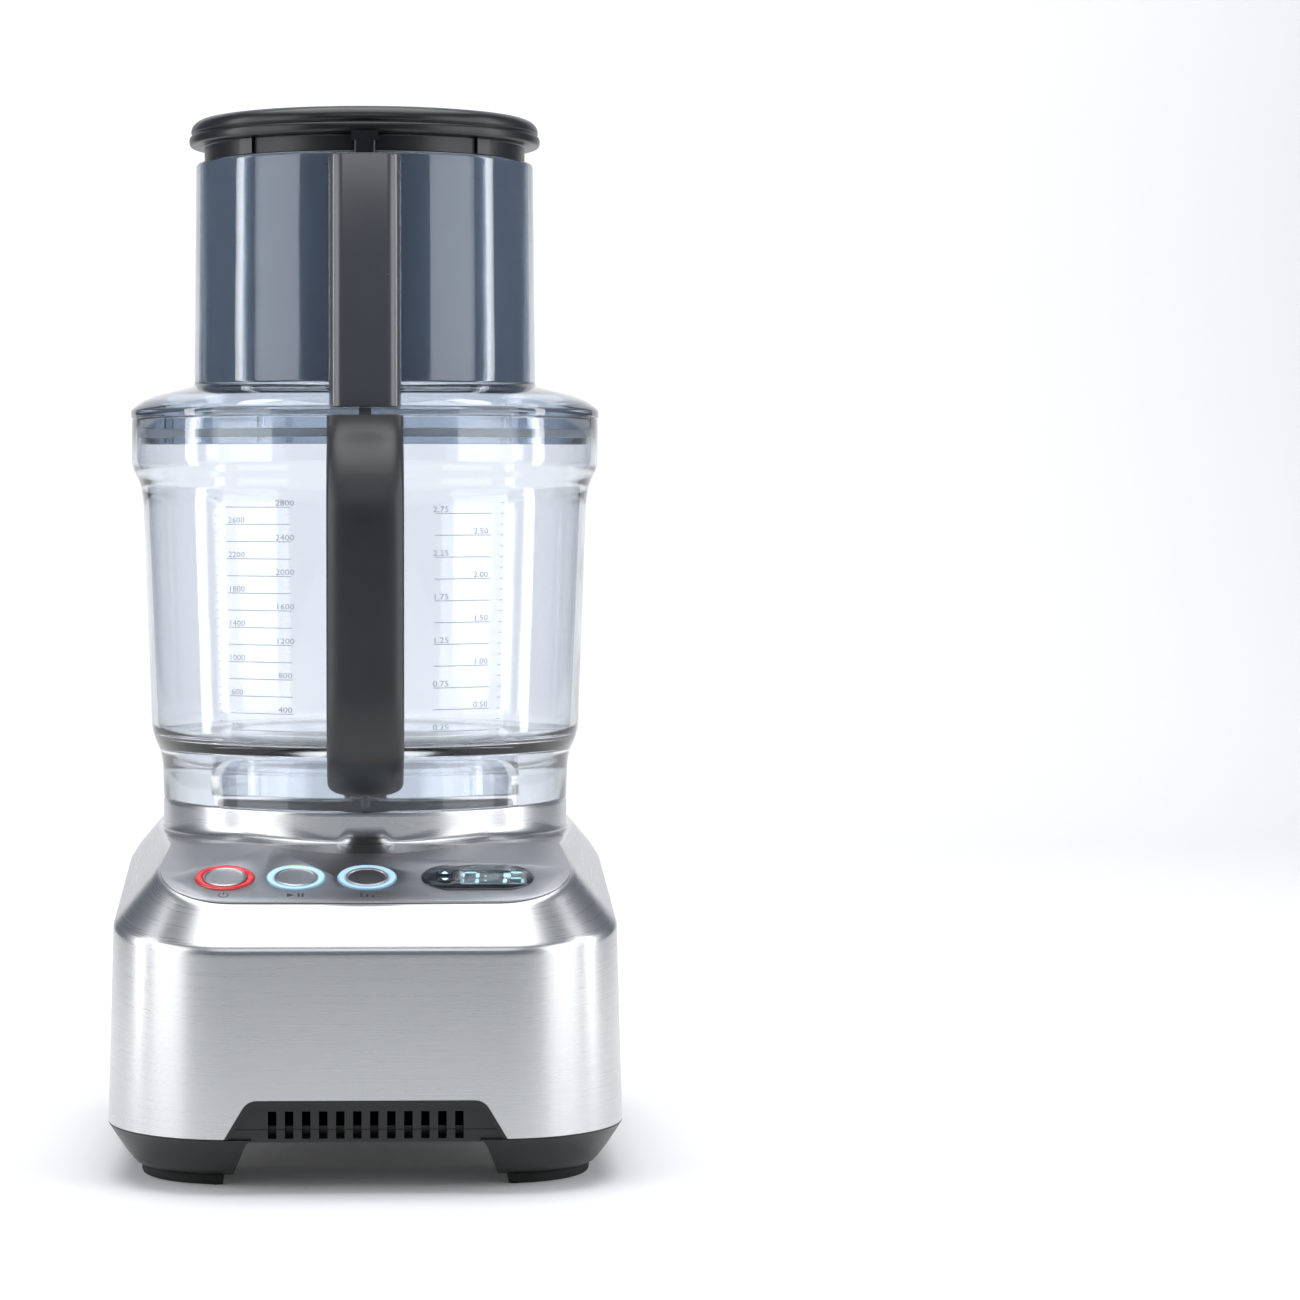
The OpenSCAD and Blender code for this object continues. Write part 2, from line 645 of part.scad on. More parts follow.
bowl_inner = concat(
    [[collar_r - bowl_t, bowl_top], [collar_r - bowl_t, collar_z + 1.6],
     [collar_r - bowl_t - 1.4, collar_z - 1.5], [bowl_r - bowl_t - 0.1, collar_z - 8],
     [bowl_r - bowl_t, collar_z - 14], [bowl_foot_r - bowl_t, floor_top + 3.4],
     [bowl_foot_r - bowl_t - 2.6, floor_top]]);
bowl_hub = [[hub_r, floor_top], [hub_r - 0.4, floor_top + hub_h], [hub_bore, floor_top + hub_h],
    [hub_bore, floor_top - bowl_t]];
bowl_under = [[drum_r, floor_top - bowl_t], [drum_r, bowl_z + 5.3], [drum_r + 2, bowl_z + 5.3],
    [drum_r + 2, floor_top - bowl_t], [foot_ring_r - bowl_t, floor_top - bowl_t - 1],
    [foot_ring_r - bowl_t, bowl_z]];
module bowl_envelope() {
    turned(concat([[0, bowl_z - 1], [foot_ring_r, bowl_z - 1]], bowl_outer,
        [[collar_r, bowl_top + 1], [0, bowl_top + 1]]));
}
arm_z = bowl_z + 17;
module rod_slot() {
    on_axis() translate([-rod_t / 2 - 1.2, -foot_ring_r - 6, arm_z - rod_travel - 0.8])
        cube([rod_t + 2.4, 12, rod_t + rod_travel + 1.6]);
}
module bowl() {
    color("#dfe9f2", 0.35) difference() {
        turned(concat(bowl_outer, bowl_inner, bowl_hub, bowl_under));
        rod_slot();
    }
}

// ---- Handle: side profiles are drawn as [reach from the axis, height] ----
module side_plate(width) {
    on_axis() rotate([90, 0, -90]) translate([0, 0, -width / 2]) linear_extrude(width) children();
}
grip_in = handle_reach - grip_d;
module handle_side() {
    offset(r = 10, $fn = 64) offset(delta = -10)
        polygon([[bowl_r - 10, handle_z], [grip_in - 6, handle_z],
            [handle_reach - 7, handle_z + 14], [handle_reach - 1, handle_z + 34],
            [handle_reach, handle_top - 52], [handle_reach - 1.5, handle_top - 32],
            [handle_reach - 12, handle_top - 15], [post_reach + 11, handle_top - 5],
            [post_reach - 1, handle_top + 6], [post_reach - 1, handle_top], [bowl_r - 10, handle_top]]);
}
// The part of the side view that lies under the post
module handle_cut() { square([handle_reach + 20, handle_top]); }
gap_low = handle_z + 26;
gap_high = handle_top - 46;
module finger_gap(grow) {
    offset(r = grow, $fn = 48) offset(r = 12, $fn = 48) offset(delta = -12)
        polygon([[bowl_r - 30, gap_low], [grip_in - 7, gap_low], [grip_in, gap_low + 9],
            [grip_in, gap_high - 9], [grip_in - 7, gap_high], [bowl_r - 30, gap_high]]);
}
liner_t = 3;
rod_r = post_reach - 5.7;
rod_top = post_z - fit;
rod_foot = handle_top - 22;
spring_r = 3.4;
spring_z = rod_foot - 16;
grip_rod = grip_in + 7.5;
screw_x = 9;
screw_rows = [gap_low + 20, gap_high - 20];
module at_screws() {
    on_axis() for (x = [-screw_x, screw_x], z = screw_rows)
        translate([x, -grip_in, z]) rotate([90, 0, 0]) children();
}
// Room for the rod, and for its travel, through the solid parts of the handle
module rod_way() {
    w = rod_t + 1.4;
    side_plate(w) translate([rod_r - w / 2, rod_foot - rod_travel - 1]) square([w, 60]);
    side_plate(w) translate([0, arm_z - rod_travel - 0.8])
        square([foot_ring_r + 8, rod_t + rod_travel + 1.6]);
    side_plate(w) translate([grip_rod - 0.7, arm_z + 12]) square([w, gap_high - arm_z - 12]);
}
module handle_shell() {
    color("#2d2f32") difference() {
        union() {
            difference() {
                side_plate(handle_w) difference() {
                    intersection() {
                        handle_side();
                        handle_cut();
                    }
                    finger_gap(liner_t + seat);
                }
                side_plate(handle_w - 5.2) difference() {
                    offset(delta = -2.8) intersection() {
                        handle_side();
                        handle_cut();
                    }
                    translate([0, gap_low + 5]) square([handle_reach, 2.4]);
                    translate([0, spring_z - 2.6]) square([post_reach + 1, 2.6]);
                }
            }
            at_screws() translate([0, 0, liner_t + seat]) cylinder(r = 3.2, h = grip_d - liner_t - 2);
        }
        rod_way();
        bowl_envelope();
        at_screws() cylinder(r = 1.6, h = 12);
    }
}
module handle_liner() {
    color("#26282a") difference() {
        side_plate(handle_w - 1) intersection() {
            difference() {
                finger_gap(liner_t);
                finger_gap(0);
            }
            handle_side();
        }
        bowl_envelope();
        at_screws() cylinder(r = 1.8, h = 30, center = true);
        at_screws() translate([0, 0, -10]) cylinder(r = 3.4, h = 11.6);
    }
}
module handle_screws() {
    color("#8e9092") at_screws() {
        cylinder(r = 3.2, h = 1.5);
        cylinder(r = 1.5, h = 10);
    }
}
module handle_rod() {
    h = rod_t / 2;
    color("#5d6166") {
        side_plate(rod_t) polygon([[rod_r - h, rod_foot], [rod_r - h, rod_top], [rod_r + h, rod_top],
            [rod_r + h, rod_foot + 6], [grip_rod + rod_t, gap_high + 12], [grip_rod + rod_t, arm_z + 16],
            [grip_in - 4, arm_z], [rod_pin_r - 2, arm_z], [rod_pin_r - 2, arm_z + rod_t],
            [grip_in - 6, arm_z + rod_t], [grip_rod, arm_z + rod_t + 15], [grip_rod, gap_high + 8],
            [rod_r + spring_r + 1.5, rod_foot]]);
        on_axis() translate([0, -rod_pin_r, neck_z + 1.8]) cylinder(r = 1.9, h = arm_z - neck_z - 0.8);
    }
}
spring_wire = 0.45;
spring_turns = 6;
spring_side = 6;
module rod_spring() {
    steps = spring_turns * 12;
    length = rod_foot - spring_z - 2 * spring_wire - 2 * seat;
    points = [for (i = [0:steps]) let (a = 30 * i, z = length * i / steps)
        each [for (j = [0:spring_side - 1])
            let (b = 360 * j / spring_side, r = spring_r + spring_wire * cos(b))
            [r * cos(a), r * sin(a), z + spring_wire * sin(b)]]];
    sides = [for (i = [0:steps - 1], j = [0:spring_side - 1])
        let (k = i * spring_side, m = (j + 1) % spring_side)
        each [[k + j, k + spring_side + j, k + spring_side + m], [k + j, k + spring_side + m, k + m]]];
    ends = [[for (j = [0:spring_side - 1]) j],
        [for (j = [spring_side - 1:-1:0]) steps * spring_side + j]];
    color("#b8babc") on_axis() translate([0, -rod_r, spring_z + spring_wire + seat])
        polyhedron(points, concat(sides, ends), convexity = 10);
}

// ---- Lid, seal, chute post and the rod inside it ----
plug_r = collar_r - bowl_t - 1.6;
chute_in = chute_r - chute_t;
lid_outer = [[collar_r + 0.4, lid_z], [collar_r + 0.4, lid_z + 3.4], [collar_r - 0.4, lid_z + 4.4],
    [collar_r - 4.2, lid_z + dome_h * 0.52], [collar_r - 11, lid_z + dome_h * 0.72],
    [chute_r + 8, lid_z + dome_h * 0.88], [chute_r + 2.4, chute_z - 0.4], [chute_r + 1.1, chute_z + 0.6]];
lid_inner = [[chute_in, chute_top], [chute_in, chute_z - 5], [chute_r + 8, lid_z + dome_h * 0.88 - 3],
    [collar_r - 11, lid_z + dome_h * 0.72 - 2.8], [plug_r - 2.2, lid_z + 2], [plug_r - 2.2, lid_z - 12],
    [plug_r, lid_z - 12], [plug_r, lid_z]];
module lid_envelope() {
    turned(concat([[0, lid_z - 30], [collar_r + 0.4, lid_z - 30]], lid_outer,
        [[chute_r, chute_top + 9], [0, chute_top + 9]]));
}
rail_r = 12;
rail_in = sqrt(pow(chute_in + 1.2, 2) - pow(post_w / 2 + 2.1, 2));
module lid() {
    color("#d4dde8", 0.35) {
        turned(concat(lid_outer, [[chute_r, chute_top - 0.8], [chute_r - 0.5, chute_top]], lid_inner));
        for (s = [-1, 1]) on_axis() translate([s * (post_w / 2 + 1.1) - 1, -chute_r - rail_r, chute_z + 2])
            cube([2, chute_r + rail_r - rail_in, post_top - chute_z - 4]);
    }
}
module lid_seal() {
    color("#c9ced3") tube_z(collar_r - bowl_t - fit, plug_r + seat, lid_z - 9, lid_z - 5.5);
}
post_t = 2.6;
tab_r = chute_r + 5.7;
tab_w = 8.8;
module chute_post() {
    r = 6;
    back = chute_r - 5;
    color("#3a3c40") difference() {
        on_axis() translate([0, -post_reach, post_z]) linear_extrude(post_top - post_z) union() {
            for (s = [-1, 1]) translate([s * (post_w / 2 - r), r]) circle(r = r, $fn = 48);
            translate([-post_w / 2, r]) square([post_w, post_reach - back - r]);
            translate([-post_w / 2 + r, 0]) square([post_w - 2 * r, 2 * r]);
        }
        lid_envelope();
        on_axis() translate([-post_w / 2 + post_t, -post_reach + post_t, post_z - 1])
            cube([post_w - 2 * post_t, post_reach - post_t - chute_r - 3, post_top - post_z - post_t + 1]);
        on_axis() translate([-tab_w / 2 - 0.5, -tab_r - 4.4, post_top - 30]) cube([tab_w + 1, 8.8, 60]);
    }
}
tab_z = post_top - 3.2;
module lid_rod() {
    h = rod_t / 2;
    arm_top = post_top - 12;
    color("#5d6166") side_plate(rod_t) polygon([[tab_r - 2.6, arm_top - rod_t], [tab_r - 2.6, tab_z - fit],
        [tab_r + 2.6, tab_z - fit], [tab_r + 2.6, arm_top], [rod_r + h, arm_top], [rod_r + h, post_z],
        [rod_r - h, post_z], [rod_r - h, arm_top - rod_t]]);
}

// ---- Large pusher with the small one inside it ----
cap_joint = chute_top + 0.7;
recess_r = feed_r + 4.4;
recess_h = 4;
small_r = feed_r - feed_t - 0.6;
module pusher_body() {
    color("#6f8093", 0.5) turned([[pusher_r, pusher_z], [pusher_r, cap_joint], [pusher_r - pusher_t, cap_joint],
        [pusher_r - pusher_t, pusher_z + 3], [feed_r, pusher_z + 3], [feed_r, cap_top - recess_h - 2.5],
        [feed_r - feed_t, cap_top - recess_h - 2.5], [feed_r - feed_t, pusher_z]]);
}
module pusher_cap() {
    under = cap_top - 7;
    color("#161718") {
        turned([[pusher_r, cap_joint + seat], [pusher_r, cap_z], [cap_r - 0.8, cap_z + 0.2],
            [cap_r, cap_z + 1.2], [cap_r, cap_z + 0.36 * cap_h], [cap_r - 1, cap_z + 0.42 * cap_h],
            [cap_r - 0.4, cap_z + 0.5 * cap_h], [cap_r - 1.4, cap_z + 0.76 * cap_h],
            [cap_r - 4.2, cap_z + 0.94 * cap_h], [cap_r - 8, cap_top],
            [recess_r, cap_top], [recess_r, cap_top - recess_h], [feed_r - feed_t, cap_top - recess_h],
            [feed_r - feed_t, cap_top - recess_h - 2.4], [feed_r + seat, cap_top - recess_h - 2.4],
            [feed_r + seat, cap_top - 13], [feed_r + 3, cap_top - 13], [feed_r + 3, under],
            [pusher_r - pusher_t, under], [pusher_r - pusher_t, cap_joint + seat]]);
        on_axis() for (a = [-135, -45, 45, 135]) rotate([0, 0, a - 0.5])
            translate([pusher_r - 1, -4, cap_joint + seat]) cube([2, 8, cap_z - cap_joint]);
        on_axis() translate([-5.6, -tab_r - 4, cap_z - 3.9]) cube([11.2, tab_r + 4 - pusher_r + 1, 4.1]);
        on_axis() translate([-tab_w / 2, -tab_r - 4, tab_z]) cube([tab_w, 7.4, cap_z - 3.9 - tab_z + eps]);
    }
}
module small_pusher() {
    bottom = pusher_z + fit;
    top = cap_top - recess_h + fit - seat;
    color("#6f8093", 0.5) turned([[0, bottom], [small_r, bottom], [small_r, top], [small_r - 2, top],
        [small_r - 2, bottom + 2.5], [0, bottom + 2.5]]);
}
module small_pusher_cap() {
    low = cap_top - recess_h + fit;
    color("#161718") turned([[0, low], [recess_r - 0.6, low], [recess_r - 0.6, cap_top - 0.9],
        [recess_r - 1.4, cap_top - 0.1], [recess_r - 6, cap_top - 0.1],
        [recess_r - 9, cap_top - 1.2], [0, cap_top - 1.7]]);
}

rubber_feet();
undertray();
case_screws();
housing();
cord_gland();
control_panel();
power_ring();
light_rings();
power_button();
start_button();
pulse_button();
display_window();
lcd_module();
timer_up_key();
timer_down_key();
control_board();
key_switches();
board_screws();
interlock_switch();
motor_mounts();
lower_bracket();
lower_bearing();
motor_stator();
motor_windings();
upper_bracket();
upper_bearing();
tie_bolts();
motor_rotor();
motor_shaft();
cooling_fan();
drive_spindle();
spindle_boss();
spindle_seal();
lock_ring();
bowl();
handle_shell();
handle_liner();
handle_screws();
handle_rod();
rod_spring();
lid();
lid_seal();
chute_post();
lid_rod();
pusher_body();
pusher_cap();
small_pusher();
small_pusher_cap();
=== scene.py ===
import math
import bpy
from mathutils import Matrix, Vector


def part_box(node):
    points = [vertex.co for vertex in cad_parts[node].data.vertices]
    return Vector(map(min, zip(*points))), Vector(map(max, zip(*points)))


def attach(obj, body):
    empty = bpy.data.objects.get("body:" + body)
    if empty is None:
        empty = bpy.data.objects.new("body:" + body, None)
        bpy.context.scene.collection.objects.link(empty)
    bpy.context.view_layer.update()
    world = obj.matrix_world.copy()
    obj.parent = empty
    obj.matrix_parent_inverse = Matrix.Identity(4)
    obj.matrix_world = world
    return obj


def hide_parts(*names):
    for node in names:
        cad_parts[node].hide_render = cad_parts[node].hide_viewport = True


bl_info = {
    "name": "Food Processor",
    "version": (1, 0, 0),
    "blender": (4, 5, 0),
    "location": "3D View > Sidebar > Processor",
    "description": "Builds a food processor: steel motor base, clear bowl and lid, wide feed chute",
    "category": "Add Mesh",
}

import bmesh
import bpy
from bpy.props import FloatProperty, FloatVectorProperty, IntProperty, PointerProperty
from mathutils import Matrix, Vector

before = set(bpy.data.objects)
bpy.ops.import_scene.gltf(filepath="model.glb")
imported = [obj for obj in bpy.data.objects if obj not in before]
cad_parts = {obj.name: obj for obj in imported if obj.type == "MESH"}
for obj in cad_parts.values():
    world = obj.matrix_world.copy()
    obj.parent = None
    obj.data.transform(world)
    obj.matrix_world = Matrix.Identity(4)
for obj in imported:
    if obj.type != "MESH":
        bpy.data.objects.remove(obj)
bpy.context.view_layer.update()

MM = 0.001
LID_GAP = 0.3 * MM  # between the bowl's rim and the lid's
FOOT = Vector((0.073, 0.091))  # a foot's screw, from the middle of the base
ARCHES = (0.047, 0.060)  # half widths of the openings between the pods: front and back, then the sides
NECK_HOLE = 0.0364  # radius of the hole in the neck, which the pale boss fills
TAB_OUT = 0.0057  # how far in front of the chute the cap's tab stands
CLEARANCE = 0.00012  # between the handle or the post and the clear wall it sits on
ON_STEEL = 0.00005  # what lies on the steel stands this far off it
SYMBOL_Y = -0.0172  # place of the printed symbols below the row of buttons
KEY_Y = 0.0033  # place of a timer key above or below the middle of the display
LCD_PLACE = 0.0064  # middle of the lit display, from the middle of its window
RING_GLOW = (0.0104, 0.0112)  # radii between which a light ring grows bright


def node_box(node):
    """Lowest and highest corner of a packed node, at rest."""
    low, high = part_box(node)
    return Vector(low), Vector(high)


HOUSING = node_box("housing")
BOWL = node_box("bowl")
LID = node_box("lid")
CAP = node_box("pusher_cap")
PUSHER = node_box("pusher_body")
POST = node_box("chute_post")
GRIP = node_box("handle_shell")
FEET = node_box("rubber_feet")
GLAND = node_box("cord_gland")

AXIS_Y = 0.5 * (BOWL[0].y + BOWL[1].y)
NECK_Z = HOUSING[1].z
BOWL_Z = BOWL[0].z
BOWL_TOP = BOWL[1].z
COLLAR_R = BOWL[1].x
CHUTE_TOP = LID[1].z
RIM_R = LID[1].x
LID_Z = BOWL_TOP + LID_GAP
CAP_R = CAP[1].x
CAP_TOP = CAP[1].z
GRIP_REACH = AXIS_Y - GRIP[0].y
POST_REACH = AXIS_Y - POST[0].y


# ---------------------------------------------------------------- sizes and colours


def linear(value):
    """A colour given as sRGB hex, in linear light."""
    parts = [(value >> shift & 255) / 255 for shift in (16, 8, 0)]
    return tuple(p / 12.92 if p <= 0.04045 else ((p + 0.055) / 1.055) ** 2.4 for p in parts)


def length(name, default, description):
    """A distance in metres that a user can change."""
    return FloatProperty(
        name=name, description=description, default=default, min=0.0, precision=4, subtype="DISTANCE",
        unit="LENGTH"
    )


def slope(name, default, description):
    """An angle that a user can change; the default is in degrees."""
    return FloatProperty(name=name, description=description, default=math.radians(default), subtype="ANGLE")


def shade_of(name, default, description):
    """A colour that a user can change; the default is sRGB hex."""
    return FloatVectorProperty(
        name=name, description=description, default=linear(default), size=3, min=0.0, max=1.0, subtype="COLOR"
    )


class ProcessorBaseSizes(bpy.types.PropertyGroup):
    """Sizes of the motor base."""

    width: length("Width", HOUSING[1].x - HOUSING[0].x, "Width of the housing at its lower edge")
    depth: length("Depth", HOUSING[1].y - HOUSING[0].y, "Depth of the housing at its lower edge")
    corner: length("Corner", 0.053, "Corner radius, seen from above")
    crease: length("Crease height", 0.0984, "Height of the crease at the front")
    draft: length("Draft", 0.0024, "How far the upright faces lean in up to the crease")
    crease_tilt: slope("Crease tilt", 7.5, "Rise of the crease towards the back")
    shoulder_slope: slope("Shoulder slope", 50, "Slope of the shoulder above the crease")
    shoulder: length("Shoulder", 0.0143, "Depth of the shoulder at the front")
    shelf: length("Shelf height", 0.134017, "Height of the flat shelf round the neck")
    neck: length("Neck radius", 0.0888, "Radius of the neck under the bowl")
    fillet: length("Neck fillet", 0.013, "Concave curve at the foot of the neck")
    wall: length("Wall", 0.002, "Thickness of the steel housing")
    notch: length("Notch half width", 0.0473, "Half width of the front notch at its top")
    notch_height: length("Notch height", 0.0159, "Height of the front notch")
    pod_inset: length("Pod inset", 0.012, "How far the pods lean in at the sides")
    pod_front_inset: length("Pod front inset", 0.026, "How far the pods lean in at the front and back")
    pod_corner: length("Pod corner", 0.036, "Corner radius of the pods at the bottom")
    slots: IntProperty(name="Vent slots", description="Number of slots in the front vent", default=12, min=2)
    slot_pitch: length("Slot pitch", 0.0068, "Distance between the vent slots")
    slot_width: length("Slot width", 0.0034, "Width of a vent slot")


class ProcessorPanelSizes(bpy.types.PropertyGroup):
    """Sizes of the control panel."""

    tilt: slope("Tilt", 18, "Slope of the control panel")
    thickness: length("Plate", 0.0008, "Thickness of the panel plate")
    ring: length("Ring radius", 0.0122, "Outer radius of a light ring")
    button: length("Button radius", 0.0089, "Radius of a button disc")
    pitch: length("Button pitch", 0.029, "Distance between the round buttons")
    first: length("Right button", 0.0006, "Place of the right round button from the middle")
    display: length("Display length", 0.0459, "Length of the display window")
    display_height: length("Display height", 0.0249, "Height of the display window")
    display_place: length("Display place", 0.0457, "Place of the display window from the middle")
    digit: length("Digit height", 0.0112, "Height of the digits on the display")


class ProcessorVesselSizes(bpy.types.PropertyGroup):
    """Sizes of the bowl, the lid and the pushers."""

    floor: length("Floor height", 0.0273, "Height of the bowl's floor above its foot")
    wall: length("Bowl wall", 0.0024, "Wall of the bowl")
    bowl: length("Bowl radius", 0.0974, "Outer radius of the bowl under its collar")
    foot: length("Foot radius", 0.0888, "Outer radius of the bowl's foot")
    collar: length("Collar height", 0.021, "Height of the collar")
    dome: length("Dome height", 0.0142, "Height of the lid up to the foot of the chute")
    chute: length("Chute radius", 0.0738, "Outer radius of the chute at its top")
    chute_wall: length("Chute wall", 0.0025, "Wall of the chute")
    tube: length("Feed tube radius", 0.033, "Outer radius of the small feed tube inside the pusher")
    tick_pitch: length("Scale pitch", 0.0072, "Distance between the marks of the left scale")
    wide_pitch: length("Wide scale pitch", 0.0091, "Distance between the marks of the right scale")


class ProcessorGripSizes(bpy.types.PropertyGroup):
    """Sizes of the handle and of the post in front of the chute."""

    width: length("Handle width", GRIP[1].x - GRIP[0].x, "Width of the handle")
    depth: length("Grip depth", 0.027, "Depth of the grip")
    rounding: length("Handle rounding", 0.0065, "How far the handle's long edges are rounded")
    post: length("Post width", POST[1].x - POST[0].x, "Width of the post")


class ProcessorColours(bpy.types.PropertyGroup):
    """Colours of the finishes."""

    steel: shade_of("Steel", 0xC9CACB, "Brushed steel of the housing")
    panel: shade_of("Panel", 0xB4B5B9, "Satin metal of the control panel")
    black: shade_of("Black", 0x101113, "Black mouldings")
    charcoal: shade_of("Charcoal", 0x232527, "Handle moulding")
    post: shade_of("Post", 0x3B3D42, "Post moulding")
    clear: shade_of("Clear", 0xF1F4F8, "Clear copolyester of the bowl and the lid")
    lid: shade_of("Lid", 0xE4E9EF, "Clear copolyester of the lid")
    # The lid's colour is a darker copy of the clear copolyester: painted shade for the stacked clear layers
    # over the collar.
    smoke: shade_of("Smoke", 0xC3CCD7, "Smoked copolyester of the pusher")
    red: shade_of("Power light", 0xD2262C, "Light of the power ring")
    blue: shade_of("Control light", 0x9CCBEF, "Light of the other two rings")
    digits: shade_of("Digits", 0xBFEAF0, "Lit digits of the display")


GROUPS = {
    "processor_base": ProcessorBaseSizes,
    "processor_panel": ProcessorPanelSizes,
    "processor_vessel": ProcessorVesselSizes,
    "processor_grip": ProcessorGripSizes,
    "processor_colours": ProcessorColours,
}


# ---------------------------------------------------------------- shapes in mesh code


def rounded_plan(width, depth, corner, arc=28, side=16):
    """Outline of a rounded rectangle: points with their outward directions, anticlockwise."""
    reach = Vector((width / 2 - corner, depth / 2 - corner))
    signs = ((1, 1), (-1, 1), (-1, -1), (1, -1))
    points = []
    for k, sign in enumerate(signs):
        centre = Vector((sign[0] * reach.x, sign[1] * reach.y))
        for j in range(arc + 1):
            a = math.radians(90 * (k + j / arc))
            out = Vector((math.cos(a), math.sin(a)))
            points.append((centre + corner * out, out))
        start, out = points[-1]
        far = signs[(k + 1) % 4]
        end = Vector((far[0] * reach.x, far[1] * reach.y)) + corner * out
        points += [(start.lerp(end, j / side), out) for j in range(1, side)]
    return points


def corner_curve(a, b, c, reach, steps):
    """Points of a curve that rounds the corner b between a and c."""
    before, after = a - b, c - b
    start = b + before * min(reach / max(before.length, 1e-9), 0.48)
    end = b + after * min(reach / max(after.length, 1e-9), 0.48)
    return [
        start * (1 - u) ** 2 + b * 2 * u * (1 - u) + end * u**2 for u in (j / steps for j in range(steps + 1))
    ]


def eased(points, reach, steps=4):
    """A closed outline with its corners rounded; reach is one length, or one for each corner."""
    points = [Vector(p) for p in points]
    count = len(points)
    reaches = [reach] * count if isinstance(reach, (int, float)) else list(reach)
    done = []
    for i, b in enumerate(points):
        if reaches[i] <= 0:
            done.append(b)
        else:
            done += corner_curve(points[i - 1], b, points[(i + 1) % count], reaches[i], steps)
    return done


def shell_of_rings(bm, rings, layer=None, scale=(1.0, 1.0), closed=True, cap=False):
    """Joins rings of equal length with quads; layer takes the distance along and across as a UV map."""
    verts = [[bm.verts.new(p) for p in ring] for ring in rings]
    count, size = len(verts), len(verts[0])
    along = [0.0]
    for i in range(1, count + 1):
        along.append(along[-1] + (Vector(rings[i % count][0]) - Vector(rings[i - 1][0])).length)
    across = [0.0]
    for j in range(1, size + 1):
        across.append(across[-1] + (Vector(rings[0][j % size]) - Vector(rings[0][j - 1])).length)
    for i in range(count if closed else count - 1):
        for j in range(size):
            n, m = (i + 1) % count, (j + 1) % size
            face = bm.faces.new((verts[i][j], verts[n][j], verts[n][m], verts[i][m]))
            if layer:
                for loop, (u, v) in zip(face.loops, ((i, j), (i + 1, j), (i + 1, j + 1), (i, j + 1))):
                    loop[layer].uv = (along[u] * scale[0], across[v] * scale[1])
    if cap:
        bm.faces.new(list(reversed(verts[0])))
        bm.faces.new(verts[-1])
    return verts


def linked(name, data):
    """A new object in the scene."""
    piece = bpy.data.objects.new(name, data)
    bpy.context.scene.collection.objects.link(piece)
    return piece


def finished(bm, name, sharp=32.0):
    """Turns a bmesh into an object whose faces point outwards, smooth up to the angle sharp."""
    bmesh.ops.remove_doubles(bm, verts=bm.verts, dist=1e-7)
    bmesh.ops.recalc_face_normals(bm, faces=bm.faces)
    mesh = bpy.data.meshes.new(name)
    bm.to_mesh(mesh)
    bm.free()
    piece = linked(name, mesh)
    smooth_to(piece, sharp)
    return piece


def smooth_to(piece, sharp=32.0):
    """Smooth shading, with an edge kept sharp where its faces meet at more than the angle."""
    bm = bmesh.new()
    bm.from_mesh(piece.data)
    limit = math.radians(sharp)
    for face in bm.faces:
        face.smooth = True
    for edge in bm.edges:
        edge.smooth = len(edge.link_faces) != 2 or edge.calc_face_angle(0.0) < limit
    bm.to_mesh(piece.data)
    bm.free()


def spun(name, profile, turns=144, centre=(0.0, AXIS_Y), place=None, sharp=32.0):
    """A solid of revolution from a closed profile of (radius, height), with distances as its UV map."""
    bm = bmesh.new()
    layer = bm.loops.layers.uv.new("Surface")
    points = [(max(p[0], 0.0), p[1]) for p in profile]
    rings = []
    for r, z in points:
        if r < 1e-6:
            rings.append([bm.verts.new((centre[0], centre[1], z))])
            continue
        angles = (math.tau * j / turns for j in range(turns))
        rings.append(
            [bm.verts.new((centre[0] + r * math.cos(a), centre[1] + r * math.sin(a), z)) for a in angles]
        )
    widest = max(r for r, _ in points)
    travelled = [0.0]
    for i in range(1, len(points) + 1):
        travelled.append(travelled[-1] + math.dist(points[i % len(points)], points[i - 1]))
    for i, ring in enumerate(rings):
        other = rings[(i + 1) % len(rings)]
        if len(ring) == 1 and len(other) == 1:
            continue
        for j in range(turns):
            n = (j + 1) % turns
            corners = [(ring, 0, j), (ring, 0, n), (other, 1, n), (other, 1, j)]
            seen, verts, uvs = set(), [], []
            for owner, step, k in corners:
                vert = owner[k if len(owner) > 1 else 0]
                if vert in seen:
                    continue
                seen.add(vert)
                verts.append(vert)
                turn = (j + (1 if k == n else 0)) / turns
                uvs.append((turn * math.tau * widest, travelled[i + step]))
            face = bm.faces.new(verts)
            for loop, uv in zip(face.loops, uvs):
                loop[layer].uv = uv
    if place:
        bm.transform(place)
    return finished(bm, name, sharp)


def stacked(name, rings, sharp=32.0, place=None):
    """A closed solid from rings, one above the other."""
    bm = bmesh.new()
    shell_of_rings(bm, rings, closed=False, cap=True)
    if place:
        bm.transform(place)
    return finished(bm, name, sharp)


def prism(name, outline, low, high, place=None, sharp=32.0):
    """A flat outline raised from low to high."""
    return stacked(name, [[(p[0], p[1], z) for p in outline] for z in (low, high)], sharp, place)


def padded_plate(name, outline, low, high, ease, place=None, steps=3):
    """A flat outline raised from low to high, with its upper edge rounded over the length ease."""
    bm = bmesh.new()
    layer = bm.loops.layers.uv.new("Surface")
    sizes = [(0.0, low)] + [
        (ease * (1 - math.cos(t)), high - ease * (1 - math.sin(t)))
        for t in (math.pi / 2 * k / steps for k in range(steps + 1))
    ]
    rings = [[(p[0], p[1], z) for p in shrunk(outline, inset)] for inset, z in sizes]
    shell_of_rings(bm, rings, closed=False, cap=True)
    for face in bm.faces:
        for loop in face.loops:
            loop[layer].uv = loop.vert.co.xy
    if place:
        bm.transform(place)
    return finished(bm, name, 50.0)


